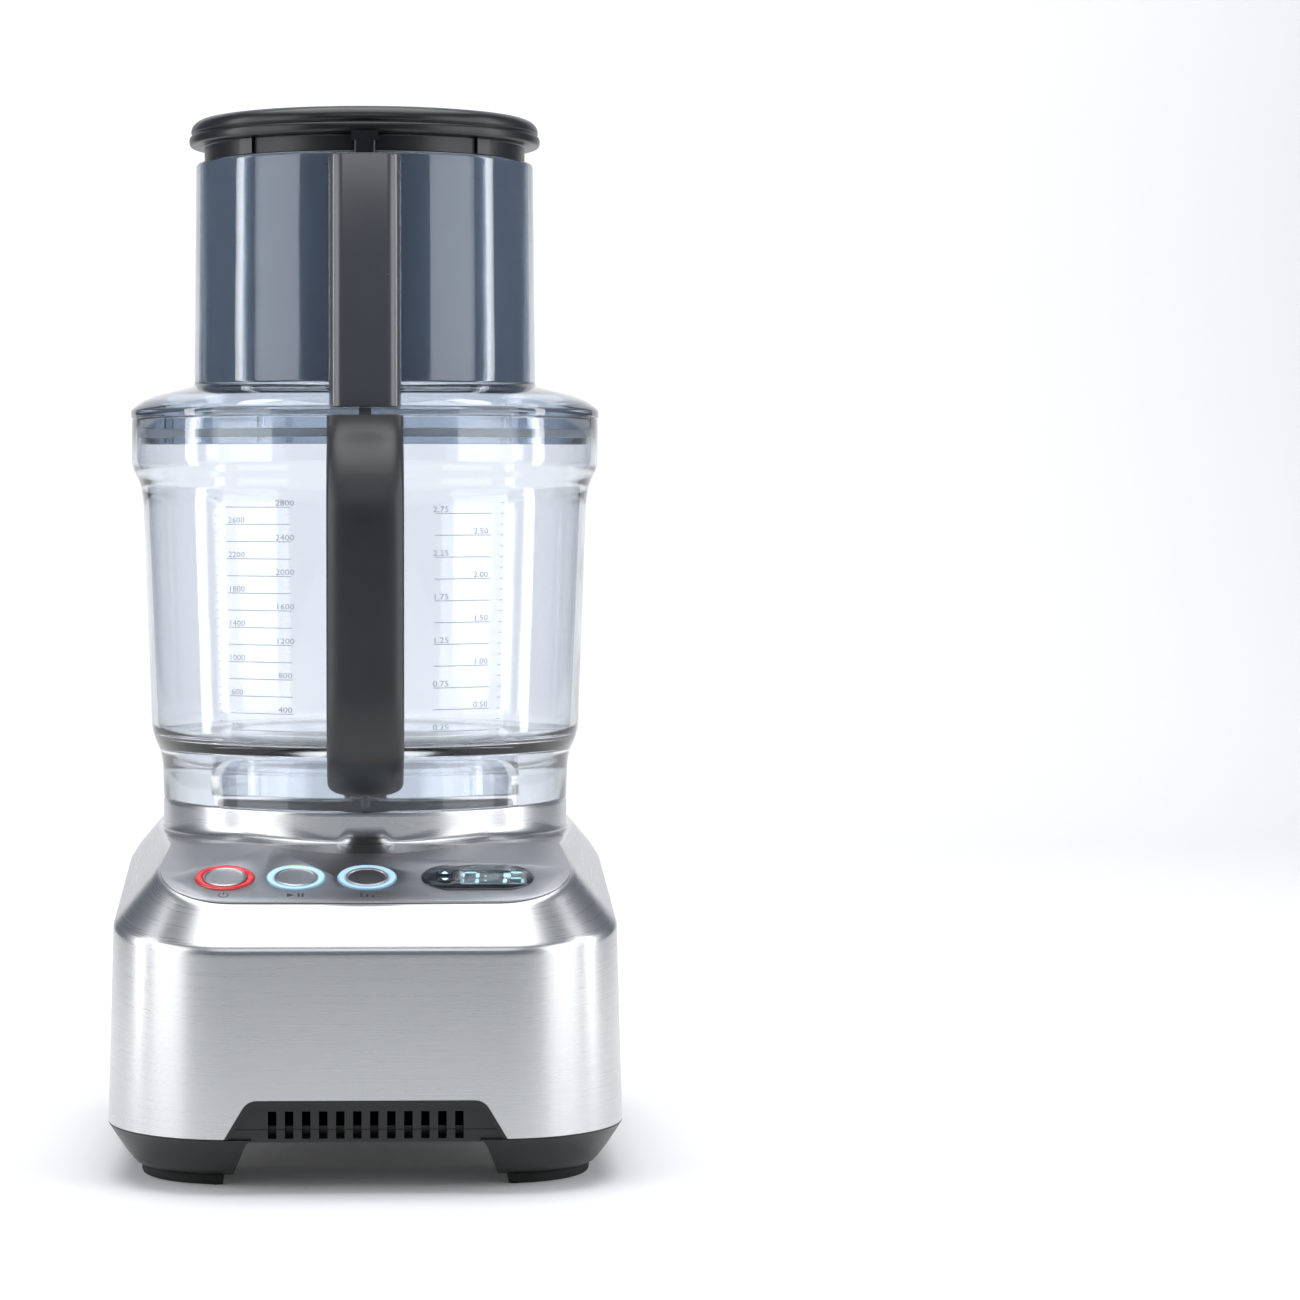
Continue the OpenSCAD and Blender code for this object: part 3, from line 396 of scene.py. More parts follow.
def shrunk(outline, inset):
    """A closed anticlockwise outline moved inwards; a negative inset moves it outwards."""
    if inset == 0:
        return [Vector(p) for p in outline]
    points = [Vector(p) for p in outline]
    moved = []
    for i, p in enumerate(points):
        before, after = p - points[i - 1], points[(i + 1) % len(points)] - p
        normals = [Vector((-d.y, d.x)).normalized() for d in (before, after)]
        middle = (normals[0] + normals[1]).normalized()
        moved.append(p + middle * inset / max(middle.dot(normals[0]), 0.35))
    return moved


def side_slab(name, outline, insets, sharp=32.0):
    """A side outline of (reach, height) as a slab across X; insets are pairs of place and inset."""
    return stacked(
        name, [[(x, AXIS_Y - p.x, p.y) for p in shrunk(outline, inset)] for x, inset in insets], sharp
    )


def crowned(width, rounding, steps=12, power=2.8):
    """Pairs of place and inset for a slab whose faces curve away towards its sides."""
    pairs = []
    for k in range(-steps, steps + 1):
        t = math.sin(math.pi / 2 * k / steps)
        pairs.append((t * width / 2, rounding * (1 - (1 - abs(t) ** power) ** (1 / power))))
    return pairs


def flat_sides(width, inset=0.0):
    """Pairs of place and inset for a slab with square edges."""
    return [(-width / 2, inset), (width / 2, inset)]


def block(name, low, high, place=None):
    """A cutter in the form of a box."""
    outline = [(low[0], low[1]), (high[0], low[1]), (high[0], high[1]), (low[0], high[1])]
    return prism(name, outline, low[2], high[2], place)


def made_real(piece):
    """Turns the piece's modifiers into its own mesh."""
    graph = bpy.context.evaluated_depsgraph_get()
    mesh = bpy.data.meshes.new_from_object(piece.evaluated_get(graph), depsgraph=graph)
    piece.modifiers.clear()
    piece.data = mesh
    return piece


def carved(piece, cutters=(), added=(), kept=(), sharp=32.0):
    """Joins, keeps the common part with, or cuts away other solids, which are then deleted."""
    steps = [("UNION", o) for o in added] + [("INTERSECT", o) for o in kept] + [
        ("DIFFERENCE", o) for o in cutters
    ]
    for operation, other in steps:
        change = piece.modifiers.new(operation, "BOOLEAN")
        change.operation, change.object, change.solver = operation, other, "EXACT"
    made_real(piece)
    if not piece.data.polygons:
        raise RuntimeError(f"{piece.name} is empty after its cuts")
    for _, other in steps:
        bpy.data.objects.remove(other)
    smooth_to(piece, sharp)
    return piece


def edged(piece, width, segments=2, angle=38.0, sharp=32.0):
    """Rounds the edges that are sharper than the angle."""
    change = piece.modifiers.new("Edges", "BEVEL")
    change.width, change.segments, change.limit_method = width, segments, "ANGLE"
    change.angle_limit, change.use_clamp_overlap = math.radians(angle), True
    made_real(piece)
    smooth_to(piece, sharp)
    return piece


def joined(name, pieces):
    """Several pieces of one material as one."""
    bm = bmesh.new()
    for piece in pieces:
        bm.from_mesh(piece.data)
        bpy.data.objects.remove(piece)
    mesh = bpy.data.meshes.new(name)
    bm.to_mesh(mesh)
    bm.free()
    return linked(name, mesh)


def placed(piece, material, body, slot, *nodes):
    """Gives a finished piece its material and its body, and hides the nodes that it stands for. The slot is not
    used.
    """
    piece.data.materials.clear()
    piece.data.materials.append(bpy.data.materials[material])
    for polygon in piece.data.polygons:
        polygon.material_index = 0
    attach(piece, body)
    if nodes:
        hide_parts(*nodes)
    return piece


# ---------------------------------------------------------------- node trees


def add(tree, kind, values=None, links=None, **settings):
    """Adds a node with its settings, its inputs' values and what its inputs are joined to.

    A link is an output, or a node for its first output.
    """
    node = tree.nodes.new(kind)
    for key, value in settings.items():
        setattr(node, key, value)
    for key, value in (values or {}).items():
        node.inputs[key].default_value = value
    for key, source in (links or {}).items():
        tree.links.new(getattr(source, "outputs", [source])[0], node.inputs[key])
    return node


def geometry_tree(name, inputs):
    """A Geometry Nodes tree with a geometry in and out, and the named inputs with their defaults."""
    tree = bpy.data.node_groups.new(name, "GeometryNodeTree")
    tree.interface.new_socket("Geometry", in_out="INPUT", socket_type="NodeSocketGeometry")
    for label, kind, default in inputs:
        socket = tree.interface.new_socket(label, in_out="INPUT", socket_type=kind)
        if default is not None:
            socket.default_value = default
    tree.interface.new_socket("Geometry", in_out="OUTPUT", socket_type="NodeSocketGeometry")
    return tree, add(tree, "NodeGroupInput").outputs


def close_tree(tree, given, geometry):
    """Ends a tree in Realize Instances and Set Material."""
    real = add(tree, "GeometryNodeRealizeInstances", links={"Geometry": geometry})
    coat = add(tree, "GeometryNodeSetMaterial", links={"Geometry": real, "Material": given["Material"]})
    add(tree, "NodeGroupOutput", links={"Geometry": coat})
    return tree


def grown(name, tree, seed_mesh=None, **inputs):
    """Runs a Geometry Nodes tree on a new object and keeps the result as a plain mesh."""
    piece = linked(name, seed_mesh or bpy.data.meshes.new(name))
    change = piece.modifiers.new(name, "NODES")
    change.node_group = tree
    names = {
        item.name: item.identifier
        for item in tree.interface.items_tree if item.item_type == "SOCKET" and item.in_out == "INPUT"
    }
    for label, value in inputs.items():
        change[names[label.replace("_", " ").capitalize()]] = value
    made_real(piece)
    if not piece.data.polygons:
        raise RuntimeError(f"{name} came out empty")
    return piece


def wrapped_ticks_tree():
    """Scale marks: a column of thin bars, bent round the leaning wall of a bowl."""
    tree, given = geometry_tree(
        "Wrapped Ticks",
        [
            ("Count", "NodeSocketInt", 12), ("Pitch", "NodeSocketFloat", 0.0072),
            ("Bar", "NodeSocketVector", (0.012, 0.00006, 0.0004)),
            ("Start", "NodeSocketVector", (0.0, 0.0, 0.18)), ("Radius", "NodeSocketFloat", 0.094),
            ("Lean", "NodeSocketFloat", 0.035), ("Centre", "NodeSocketVector", (0.0, AXIS_Y, 0.0)),
            ("Material", "NodeSocketMaterial", None)
        ]
    )
    offset = add(tree, "ShaderNodeCombineXYZ", links={"Z": given["Pitch"]})
    column = add(
        tree, "GeometryNodeMeshLine",
        links={"Count": given["Count"], "Offset": offset, "Start Location": given["Start"]}
    )
    bar = add(tree, "GeometryNodeMeshCube", values={"Vertices X": 9}, links={"Size": given["Bar"]})
    copies = add(tree, "GeometryNodeInstanceOnPoints", links={"Points": column, "Instance": bar})
    real = add(tree, "GeometryNodeRealizeInstances", links={"Geometry": copies})
    place = add(tree, "ShaderNodeSeparateXYZ", links={0: add(tree, "GeometryNodeInputPosition")})
    low = add(tree, "ShaderNodeSeparateXYZ", links={0: given["Start"]})
    rise = add(tree, "ShaderNodeMath", links={0: place.outputs["Z"], 1: low.outputs["Z"]}, operation="SUBTRACT")
    wall = add(
        tree, "ShaderNodeMath", links={0: rise, 1: given["Lean"], 2: given["Radius"]}, operation="MULTIPLY_ADD"
    )
    depth = add(tree, "ShaderNodeMath", links={0: wall, 1: place.outputs["Y"]}, operation="SUBTRACT")
    turn = add(tree, "ShaderNodeMath", links={0: place.outputs["X"], 1: given["Radius"]}, operation="DIVIDE")
    across = add(
        tree, "ShaderNodeMath",
        links={0: add(tree, "ShaderNodeMath", links={0: turn}, operation="SINE"), 1: depth},
        operation="MULTIPLY"
    )
    forward = add(
        tree, "ShaderNodeMath",
        links={0: add(tree, "ShaderNodeMath", links={0: turn}, operation="COSINE"), 1: depth},
        operation="MULTIPLY"
    )
    back = add(tree, "ShaderNodeMath", values={1: -1.0}, links={0: forward}, operation="MULTIPLY")
    bent = add(tree, "ShaderNodeCombineXYZ", links={"X": across, "Y": back, "Z": place.outputs["Z"]})
    centred = add(tree, "ShaderNodeVectorMath", links={0: bent, 1: given["Centre"]}, operation="ADD")
    moved = add(tree, "GeometryNodeSetPosition", links={"Geometry": real, "Position": centred})
    return close_tree(tree, given, moved)


def ring_of_bars_tree():
    """Upright bars in a ring round the drive axis."""
    tree, given = geometry_tree(
        "Ring Of Bars",
        [
            ("Count", "NodeSocketInt", 12), ("Radius", "NodeSocketFloat", 0.09),
            ("Bar", "NodeSocketVector", (0.003, 0.0015, 0.012)),
            ("Centre", "NodeSocketVector", (0.0, AXIS_Y, 0.3)), ("Turn", "NodeSocketFloat", 0.0),
            ("Material", "NodeSocketMaterial", None)
        ]
    )
    circle = add(tree, "GeometryNodeMeshCircle", links={"Vertices": given["Count"], "Radius": given["Radius"]})
    bar = add(tree, "GeometryNodeMeshCube", links={"Size": given["Bar"]})
    place = add(tree, "ShaderNodeSeparateXYZ", links={0: add(tree, "GeometryNodeInputPosition")})
    angle = add(
        tree, "ShaderNodeMath", links={0: place.outputs["Y"], 1: place.outputs["X"]}, operation="ARCTAN2"
    )
    turned = add(tree, "ShaderNodeCombineXYZ", links={"Z": angle})
    copies = add(
        tree, "GeometryNodeInstanceOnPoints", links={"Points": circle, "Instance": bar, "Rotation": turned}
    )
    twist = add(tree, "ShaderNodeCombineXYZ", links={"Z": given["Turn"]})
    whole = add(
        tree, "GeometryNodeTransform",
        links={"Geometry": copies, "Translation": given["Centre"], "Rotation": twist}
    )
    return close_tree(tree, given, whole)


def row_of_slots_tree():
    """Cutters in a row along X for the vent."""
    tree, given = geometry_tree(
        "Row Of Slots",
        [
            ("Count", "NodeSocketInt", 12), ("Pitch", "NodeSocketFloat", 0.0068),
            ("Slot", "NodeSocketVector", (0.0034, 0.012, 0.011)),
            ("Start", "NodeSocketVector", (0.0, 0.0, 0.0)), ("Material", "NodeSocketMaterial", None)
        ]
    )
    step = add(tree, "ShaderNodeCombineXYZ", links={"X": given["Pitch"]})
    row = add(
        tree, "GeometryNodeMeshLine",
        links={"Count": given["Count"], "Offset": step, "Start Location": given["Start"]}
    )
    slot = add(tree, "GeometryNodeMeshCube", links={"Size": given["Slot"]})
    copies = add(tree, "GeometryNodeInstanceOnPoints", links={"Points": row, "Instance": slot})
    return close_tree(tree, given, copies)


def pan_screws_tree():
    """Pan-head screws with a cross recess, heads down, on the points of the incoming mesh."""
    tree, given = geometry_tree(
        "Pan Screws",
        [
            ("Head radius", "NodeSocketFloat", 0.0038), ("Head height", "NodeSocketFloat", 0.003),
            ("Shank radius", "NodeSocketFloat", 0.002), ("Shank length", "NodeSocketFloat", 0.046),
            ("Material", "NodeSocketMaterial", None)
        ]
    )
    head = add(
        tree, "GeometryNodeMeshCylinder", values={"Vertices": 40, "Side Segments": 1},
        links={"Radius": given["Head radius"], "Depth": given["Head height"]}
    )
    half = add(tree, "ShaderNodeMath", values={1: 0.5}, links={0: given["Head height"]}, operation="MULTIPLY")
    up = add(tree, "ShaderNodeCombineXYZ", links={"Z": half})
    head_up = add(tree, "GeometryNodeTransform", links={"Geometry": head, "Translation": up})
    arms = []
    reach = add(tree, "ShaderNodeMath", values={1: 1.1}, links={0: given["Head radius"]}, operation="MULTIPLY")
    slim = add(tree, "ShaderNodeMath", values={1: 0.24}, links={0: given["Head radius"]}, operation="MULTIPLY")
    for x, y in ((reach, slim), (slim, reach)):
        size = add(tree, "ShaderNodeCombineXYZ", links={"X": x, "Y": y, "Z": given["Head height"]})
        arms.append(add(tree, "GeometryNodeMeshCube", links={"Size": size}))
    carve = add(tree, "GeometryNodeMeshBoolean", operation="DIFFERENCE", solver="EXACT")
    tree.links.new(head_up.outputs["Geometry"], carve.inputs["Mesh 1"])
    for arm in arms:
        tree.links.new(arm.outputs["Mesh"], carve.inputs["Mesh 2"])
    shank = add(
        tree, "GeometryNodeMeshCylinder", values={"Vertices": 24},
        links={"Radius": given["Shank radius"], "Depth": given["Shank length"]}
    )
    rise = add(
        tree, "ShaderNodeMath", values={1: 0.5}, links={0: given["Shank length"], 2: given["Head height"]},
        operation="MULTIPLY_ADD"
    )
    lifted = add(tree, "ShaderNodeCombineXYZ", links={"Z": rise})
    shank_up = add(tree, "GeometryNodeTransform", links={"Geometry": shank, "Translation": lifted})
    screw = add(tree, "GeometryNodeJoinGeometry")
    tree.links.new(carve.outputs["Mesh"], screw.inputs[0])
    tree.links.new(shank_up.outputs["Geometry"], screw.inputs[0])
    copies = add(tree, "GeometryNodeInstanceOnPoints", links={"Points": given["Geometry"], "Instance": screw})
    return close_tree(tree, given, copies)


# ---------------------------------------------------------------- materials


def surface(name, **settings):
    """A material with one principled shader, whose even values are set on its own sockets."""
    material = bpy.data.materials.new(name)
    material.use_nodes = True
    tree = material.node_tree
    tree.nodes.clear()
    shader = add(tree, "ShaderNodeBsdfPrincipled", values=settings)
    add(tree, "ShaderNodeOutputMaterial", links={"Surface": shader})
    return tree, shader


def rgba(colour, factor=1.0):
    """A linear colour, made lighter or darker, with full alpha."""
    return tuple(min(c * factor, 1.0) for c in colour[:3]) + (1.0,)


def mottled(tree, shader, vector, scale, colours, roughness=None, detail=4.0):
    """Joins a slow noise to the colour, between two tones, and to the roughness."""
    noise = add(
        tree, "ShaderNodeTexNoise", values={"Scale": scale, "Detail": detail, "Roughness": 0.6},
        links={"Vector": vector}
    )
    tone = add(tree, "ShaderNodeMix", values={6: colours[0], 7: colours[1]}, links={0: noise}, data_type="RGBA")
    tree.links.new(tone.outputs[2], shader.inputs["Base Color"])
    if roughness:
        spread = add(
            tree, "ShaderNodeMapRange",
            values={"From Min": 0.3, "From Max": 0.7, "To Min": roughness[0], "To Max": roughness[1]},
            links={"Value": noise}
        )
        tree.links.new(spread.outputs["Result"], shader.inputs["Roughness"])
    return noise


def relief(tree, shader, height, depth, strength=1.0):
    """Joins a height to the shader's normal; depth is in metres."""
    bump = add(
        tree, "ShaderNodeBump", values={"Strength": strength, "Distance": depth}, links={"Height": height}
    )
    tree.links.new(bump.outputs[0], shader.inputs["Normal"])
    return bump


def object_place(tree):
    """Where the finish is on the object, in metres."""
    return add(tree, "ShaderNodeTexCoord").outputs["Object"]


def surface_place(tree):
    """Where the finish is along and across the piece's own surface, in metres."""
    return add(tree, "ShaderNodeUVMap", uv_map="Surface").outputs[0]


def brushed(name, colour, vector_of, scale, roughness, tone, depth, **settings):
    """Metal drawn with fine parallel lines: a stretched noise in the tone, the roughness and the relief."""
    tree, shader = surface(name, **{"Metallic": 1.0, "Roughness": roughness[0], **settings})
    stretched = add(tree, "ShaderNodeMapping", values={"Scale": scale}, links={"Vector": vector_of(tree)})
    lines = mottled(
        tree, shader, stretched.outputs[0], 1.0, (rgba(colour, tone[0]), rgba(colour, tone[1])), roughness, 5.0
    )
    relief(tree, shader, lines.outputs["Fac"], depth)
    return shader


def moulded(name, colour, roughness, grain=0.0009, depth=0.00003, tone=(0.88, 1.12), **settings):
    """Injection-moulded plastic with a fine spark-eroded grain and a slow change of tone."""
    tree, shader = surface(name, **{"Roughness": roughness[0], "IOR": 1.5, **settings})
    place = object_place(tree)
    mottled(tree, shader, place, 38.0, (rgba(colour, tone[0]), rgba(colour, tone[1])), roughness)
    fine = add(
        tree, "ShaderNodeTexNoise", values={"Scale": 1.0 / grain, "Detail": 3.0, "Roughness": 0.65},
        links={"Vector": place}
    )
    relief(tree, shader, fine.outputs["Fac"], depth, 0.6)
    return shader


def clear_plastic(name, colour, roughness, ior, weight=1.0, **settings):
    """Clear moulded plastic: a slight waviness of the moulding bends what is seen through it."""
    tree, shader = surface(
        name, **{"Transmission Weight": weight, "IOR": ior, "Roughness": roughness, **settings}
    )
    place = object_place(tree)
    mottled(tree, shader, place, 14.0, (rgba(colour, 0.985), rgba(colour, 1.0)), None, 2.0)
    slow = add(tree, "ShaderNodeTexNoise", values={"Scale": 30.0, "Detail": 1.0}, links={"Vector": place})
    relief(tree, shader, slow.outputs["Fac"], 0.0003, 0.35)
    return shader


def make_metals(colour):
    """Materials of the metal pieces."""
    # Brushed 18/8 stainless sheet: fine level lines round the base, broad soft highlights.
    # Real lines are about 0.05 mm apart; they are drawn at 0.7 mm so that they show.
    brushed(
        "Brushed Stainless", colour.steel, surface_place, (9.0, 1400.0, 1.0), (0.26, 0.31), (0.93, 1.03),
        0.000006
    )
    # Satin anodised aluminium of the panel plate: darker, softer and more even than the housing.
    brushed(
        "Satin Aluminium", colour.panel, object_place, (12.0, 1100.0, 1100.0), (0.38, 0.46), (0.93, 1.05),
        0.000006
    )
    # Lathe-turned steel of the button discs: rings round the middle give a fan of light.
    brushed(
        "Turned Steel", linear(0xC4C6C8), surface_place, (3.0, 3000.0, 1.0), (0.34, 0.42), (0.9, 1.06), 0.000003
    )
    # Zinc-plated screws, bolts and the spring: pale bluish steel with cloudy plating.
    brushed(
        "Zinc Plated Steel", linear(0xA9ADB2), object_place, (700.0, 700.0, 700.0), (0.28, 0.42), (0.85, 1.1),
        0.00001
    )
    # Ground bearing steel: bright, with fine rings along the shaft.
    brushed(
        "Ground Steel", linear(0xC8CACD), object_place, (40.0, 40.0, 2600.0), (0.12, 0.2), (0.94, 1.04),
        0.000004
    )
    # Stacked electrical-steel laminations: level dark sheets half a millimetre thick, drawn at 1 mm.
    brushed(
        "Lamination Steel", linear(0x6C6F73), object_place, (6.0, 6.0, 1000.0), (0.4, 0.58), (0.6, 1.15),
        0.00006
    )
    # Die-cast aluminium: grey, softly pitted skin.
    brushed(
        "Cast Aluminium", linear(0x9C9EA1), object_place, (420.0, 420.0, 420.0), (0.45, 0.6), (0.85, 1.08),
        0.00006
    )
    # Enamelled copper wire: orange-brown turns, 0.7 mm wire drawn at 1.2 mm.
    brushed(
        "Enamelled Copper Wire", linear(0xB4622A), object_place, (90.0, 90.0, 850.0), (0.24, 0.36), (0.6, 1.2),
        0.0001
    )


def make_mouldings(colour):
    """Materials of the moulded, rubber and printed pieces."""
    # Satin black ABS of the cap and the undertray: a fine even grain that keeps highlights soft.
    moulded("Satin Black ABS", colour.black, (0.3, 0.38), 0.0011, 0.00002)
    # Glass-filled black nylon of inner parts: duller, with a coarser grain.
    moulded("Black Nylon", linear(0x27292C), (0.48, 0.6), 0.0014, 0.00005)
    # Soft charcoal grip moulding: even satin, a little lighter than the cap.
    moulded("Charcoal Grip", colour.charcoal, (0.36, 0.44), 0.0012, 0.000025)
    # Dark grey polished ABS of the post: slightly smoky and glossier than the handle.
    moulded(
        "Post Moulding", colour.post, (0.2, 0.28), 0.0016, 0.00001, tone=(0.94, 1.06),
        **{"Coat Weight": 0.9, "Coat Roughness": 0.2}
    )
    # Nitrile rubber: dull and nearly black.
    moulded("Nitrile Rubber", linear(0x131313), (0.72, 0.85), 0.0013, 0.00006)
    # Translucent silicone of the seals: milky and soft.
    moulded(
        "Silicone", linear(0xC4CBD1), (0.3, 0.4), 0.002, 0.00001,
        **{"Transmission Weight": 0.35, "Subsurface Weight": 0.1}
    )
    # Pale moulding round the spindle: light grey, satin.
    moulded("Pale ABS", linear(0xD6DADC), (0.34, 0.42), 0.0014, 0.00001, tone=(0.96, 1.03))
    # Grey acetal of the locking ring and the safety rods: waxy.
    moulded("Grey Acetal", linear(0x565B61), (0.32, 0.44), 0.0016, 0.00001)
    # Smoked keys of the timer: dark, a little lighter than the window.
    moulded("Key Moulding", linear(0x2B3136), (0.22, 0.3), 0.0012, 0.00001)
    # Green solder mask over copper tracks: a faint pattern of tracks under a gloss lacquer.
    tree, shader = surface("Solder Mask", **{"Roughness": 0.32, "Coat Weight": 0.4})
    place = object_place(tree)
    tracks = add(
        tree, "ShaderNodeTexVoronoi", values={"Scale": 320.0}, links={"Vector": place},
        feature="DISTANCE_TO_EDGE"
    )
    edge = add(tree, "ShaderNodeMapRange", values={"From Min": 0.02, "From Max": 0.06}, links={"Value": tracks})
    tone = add(
        tree, "ShaderNodeMix", values={6: rgba(linear(0x2E7550)), 7: rgba(linear(0x1C5237))}, links={0: edge},
        data_type="RGBA"
    )
    tree.links.new(tone.outputs[2], shader.inputs["Base Color"])
    relief(tree, shader, edge.outputs["Result"], 0.00002)
    # Screen-printed white marks on the bowl: thin matt ink, slightly broken.
    tree, shader = surface("Scale Ink", **{"Roughness": 0.6, "Alpha": 0.75})
    mottled(
        tree, shader, object_place(tree), 900.0, (rgba(linear(0x8C98A6)), rgba(linear(0xAEB8C4))), (0.5, 0.65)
    )
    # Printed symbols on the panel: dark grey matt ink.
    tree, shader = surface("Panel Ink", **{"Roughness": 0.55})
    mottled(
        tree, shader, object_place(tree), 900.0, (rgba(linear(0x35373B)), rgba(linear(0x43464B))), (0.5, 0.65)
    )


def make_clears(colour):
    """Materials of the clear pieces, the lights and the display."""
    # Clear copolyester of the bowl and the lid: bright, with cool edges and soft moulding waves.
    clear_plastic("Clear Copolyester", colour.clear, 0.05, 1.5)
    # The same copolyester as the bowl, in a cooler, a little darker copy for the lid: painted shade standing in
    # for the extra clear layers seen over the collar; the colour is squared to darken it.
    clear_plastic("Lid Copolyester", tuple(c * c for c in colour.lid), 0.06, 1.5)
    # Smoked copolyester of the large pusher: blue-grey, half as clear as the bowl.
    clear_plastic("Smoked Copolyester", colour.smoke, 0.22, 1.5, 0.5, **{"Specular IOR Level": 0.6})
    # Smoked copolyester of the small pusher, thinner and clearer.
    clear_plastic("Thin Smoked Copolyester", colour.smoke, 0.08, 1.45, 0.8)
    # Lit light guides: coloured polycarbonate that glows most in the middle of the ring.
    for name, tint, core, power in (
        ("Red Light Guide", colour.red, linear(0xC9222B), 0.5),
        ("Blue Light Guide", colour.blue, linear(0xB4DBF6), 0.55),
    ):
        tree, shader = surface(name, **{"Roughness": 0.25, "Emission Strength": power, "Coat Weight": 0.5})
        split = add(tree, "ShaderNodeSeparateXYZ", links={0: surface_place(tree)})
        wave = add(
            tree, "ShaderNodeTexNoise", values={"Scale": 260.0, "Detail": 2.0},
            links={"Vector": object_place(tree)}
        )
        across = add(
            tree, "ShaderNodeMath", values={1: 0.0004}, links={0: wave, 2: split.outputs["Y"]},
            operation="MULTIPLY_ADD"
        )
        band = add(
            tree, "ShaderNodeMapRange", values={"From Min": RING_GLOW[0], "From Max": RING_GLOW[1]},
            links={"Value": across}
        )
        glow = add(
            tree, "ShaderNodeMix", values={6: rgba(tint, 0.45), 7: rgba(core)}, links={0: band},
            data_type="RGBA"
        )
        tree.links.new(glow.outputs[2], shader.inputs["Base Color"])
        tree.links.new(glow.outputs[2], shader.inputs["Emission Color"])
    # Display window: smoked acrylic, printed black underneath except over the display.
    tree, shader = surface("Display Acrylic", **{"Roughness": 0.06, "IOR": 1.49, "Coat Weight": 0.6})
    split = add(tree, "ShaderNodeSeparateXYZ", links={0: surface_place(tree)})
    edges = []
    for axis, middle, half in (("X", LCD_PLACE, 0.0128), ("Y", 0.0, 0.0068)):
        away = add(
            tree, "ShaderNodeMath", values={1: middle}, links={0: split.outputs[axis]}, operation="SUBTRACT"
        )
        size = add(tree, "ShaderNodeMath", links={0: away}, operation="ABSOLUTE")
        edges.append(
            add(
                tree, "ShaderNodeMapRange",
                values={"From Min": half + 0.0012, "From Max": half - 0.0008, "To Min": 0.0, "To Max": 1.0},
                links={"Value": size}
            )
        )
    window = add(tree, "ShaderNodeMath", links={0: edges[0], 1: edges[1]}, operation="MULTIPLY")
    tone = add(
        tree, "ShaderNodeMix", values={6: rgba(linear(0x1C2024)), 7: rgba(linear(0xC9D6DB))}, links={0: window},
        data_type="RGBA"
    )
    tree.links.new(tone.outputs[2], shader.inputs["Base Color"])
    tree.links.new(window.outputs[0], shader.inputs["Transmission Weight"])
    # Liquid-crystal panel: dull teal-grey with a faint glow of its backlight and its fine cells.
    tree, shader = surface("Liquid Crystal Panel", **{"Roughness": 0.3, "Emission Strength": 0.35})
    cells = mottled(tree, shader, object_place(tree), 500.0, (rgba(linear(0x3B4F57)), rgba(linear(0x4B626A))))
    tone = add(
        tree, "ShaderNodeMix", values={6: rgba(linear(0x35484F)), 7: rgba(linear(0x4C646C))}, links={0: cells},
        data_type="RGBA"
    )
    tree.links.new(tone.outputs[2], shader.inputs["Emission Color"])
    # Lit segments of the display: pale cyan.
    tree, shader = surface("Lit Segments", **{"Roughness": 0.4, "Emission Strength": 1.6})
    mottled(tree, shader, object_place(tree), 700.0, (rgba(colour.digits, 0.92), rgba(colour.digits)))
    shader.inputs["Emission Color"].default_value = rgba(colour.digits)


FINISHES = {
    "lcd_module": "Liquid Crystal Panel",
    "timer_up_key": "Key Moulding",
    "timer_down_key": "Key Moulding",
    "control_board": "Solder Mask",
    "key_switches": "Black Nylon",
    "board_screws": "Zinc Plated Steel",
    "interlock_switch": "Black Nylon",
    "motor_mounts": "Nitrile Rubber",
    "lower_bracket": "Cast Aluminium",
    "lower_bearing": "Ground Steel",
    "motor_stator": "Lamination Steel",
    "motor_windings": "Enamelled Copper Wire",
    "upper_bracket": "Cast Aluminium",
    "upper_bearing": "Ground Steel",
    "tie_bolts": "Zinc Plated Steel",
    "motor_rotor": "Lamination Steel",
    "motor_shaft": "Ground Steel",
    "cooling_fan": "Black Nylon",
    "handle_screws": "Zinc Plated Steel",
    "handle_rod": "Grey Acetal",
    "rod_spring": "Zinc Plated Steel",
    "lid_rod": "Grey Acetal",
}


# ---------------------------------------------------------------- the base's own surface


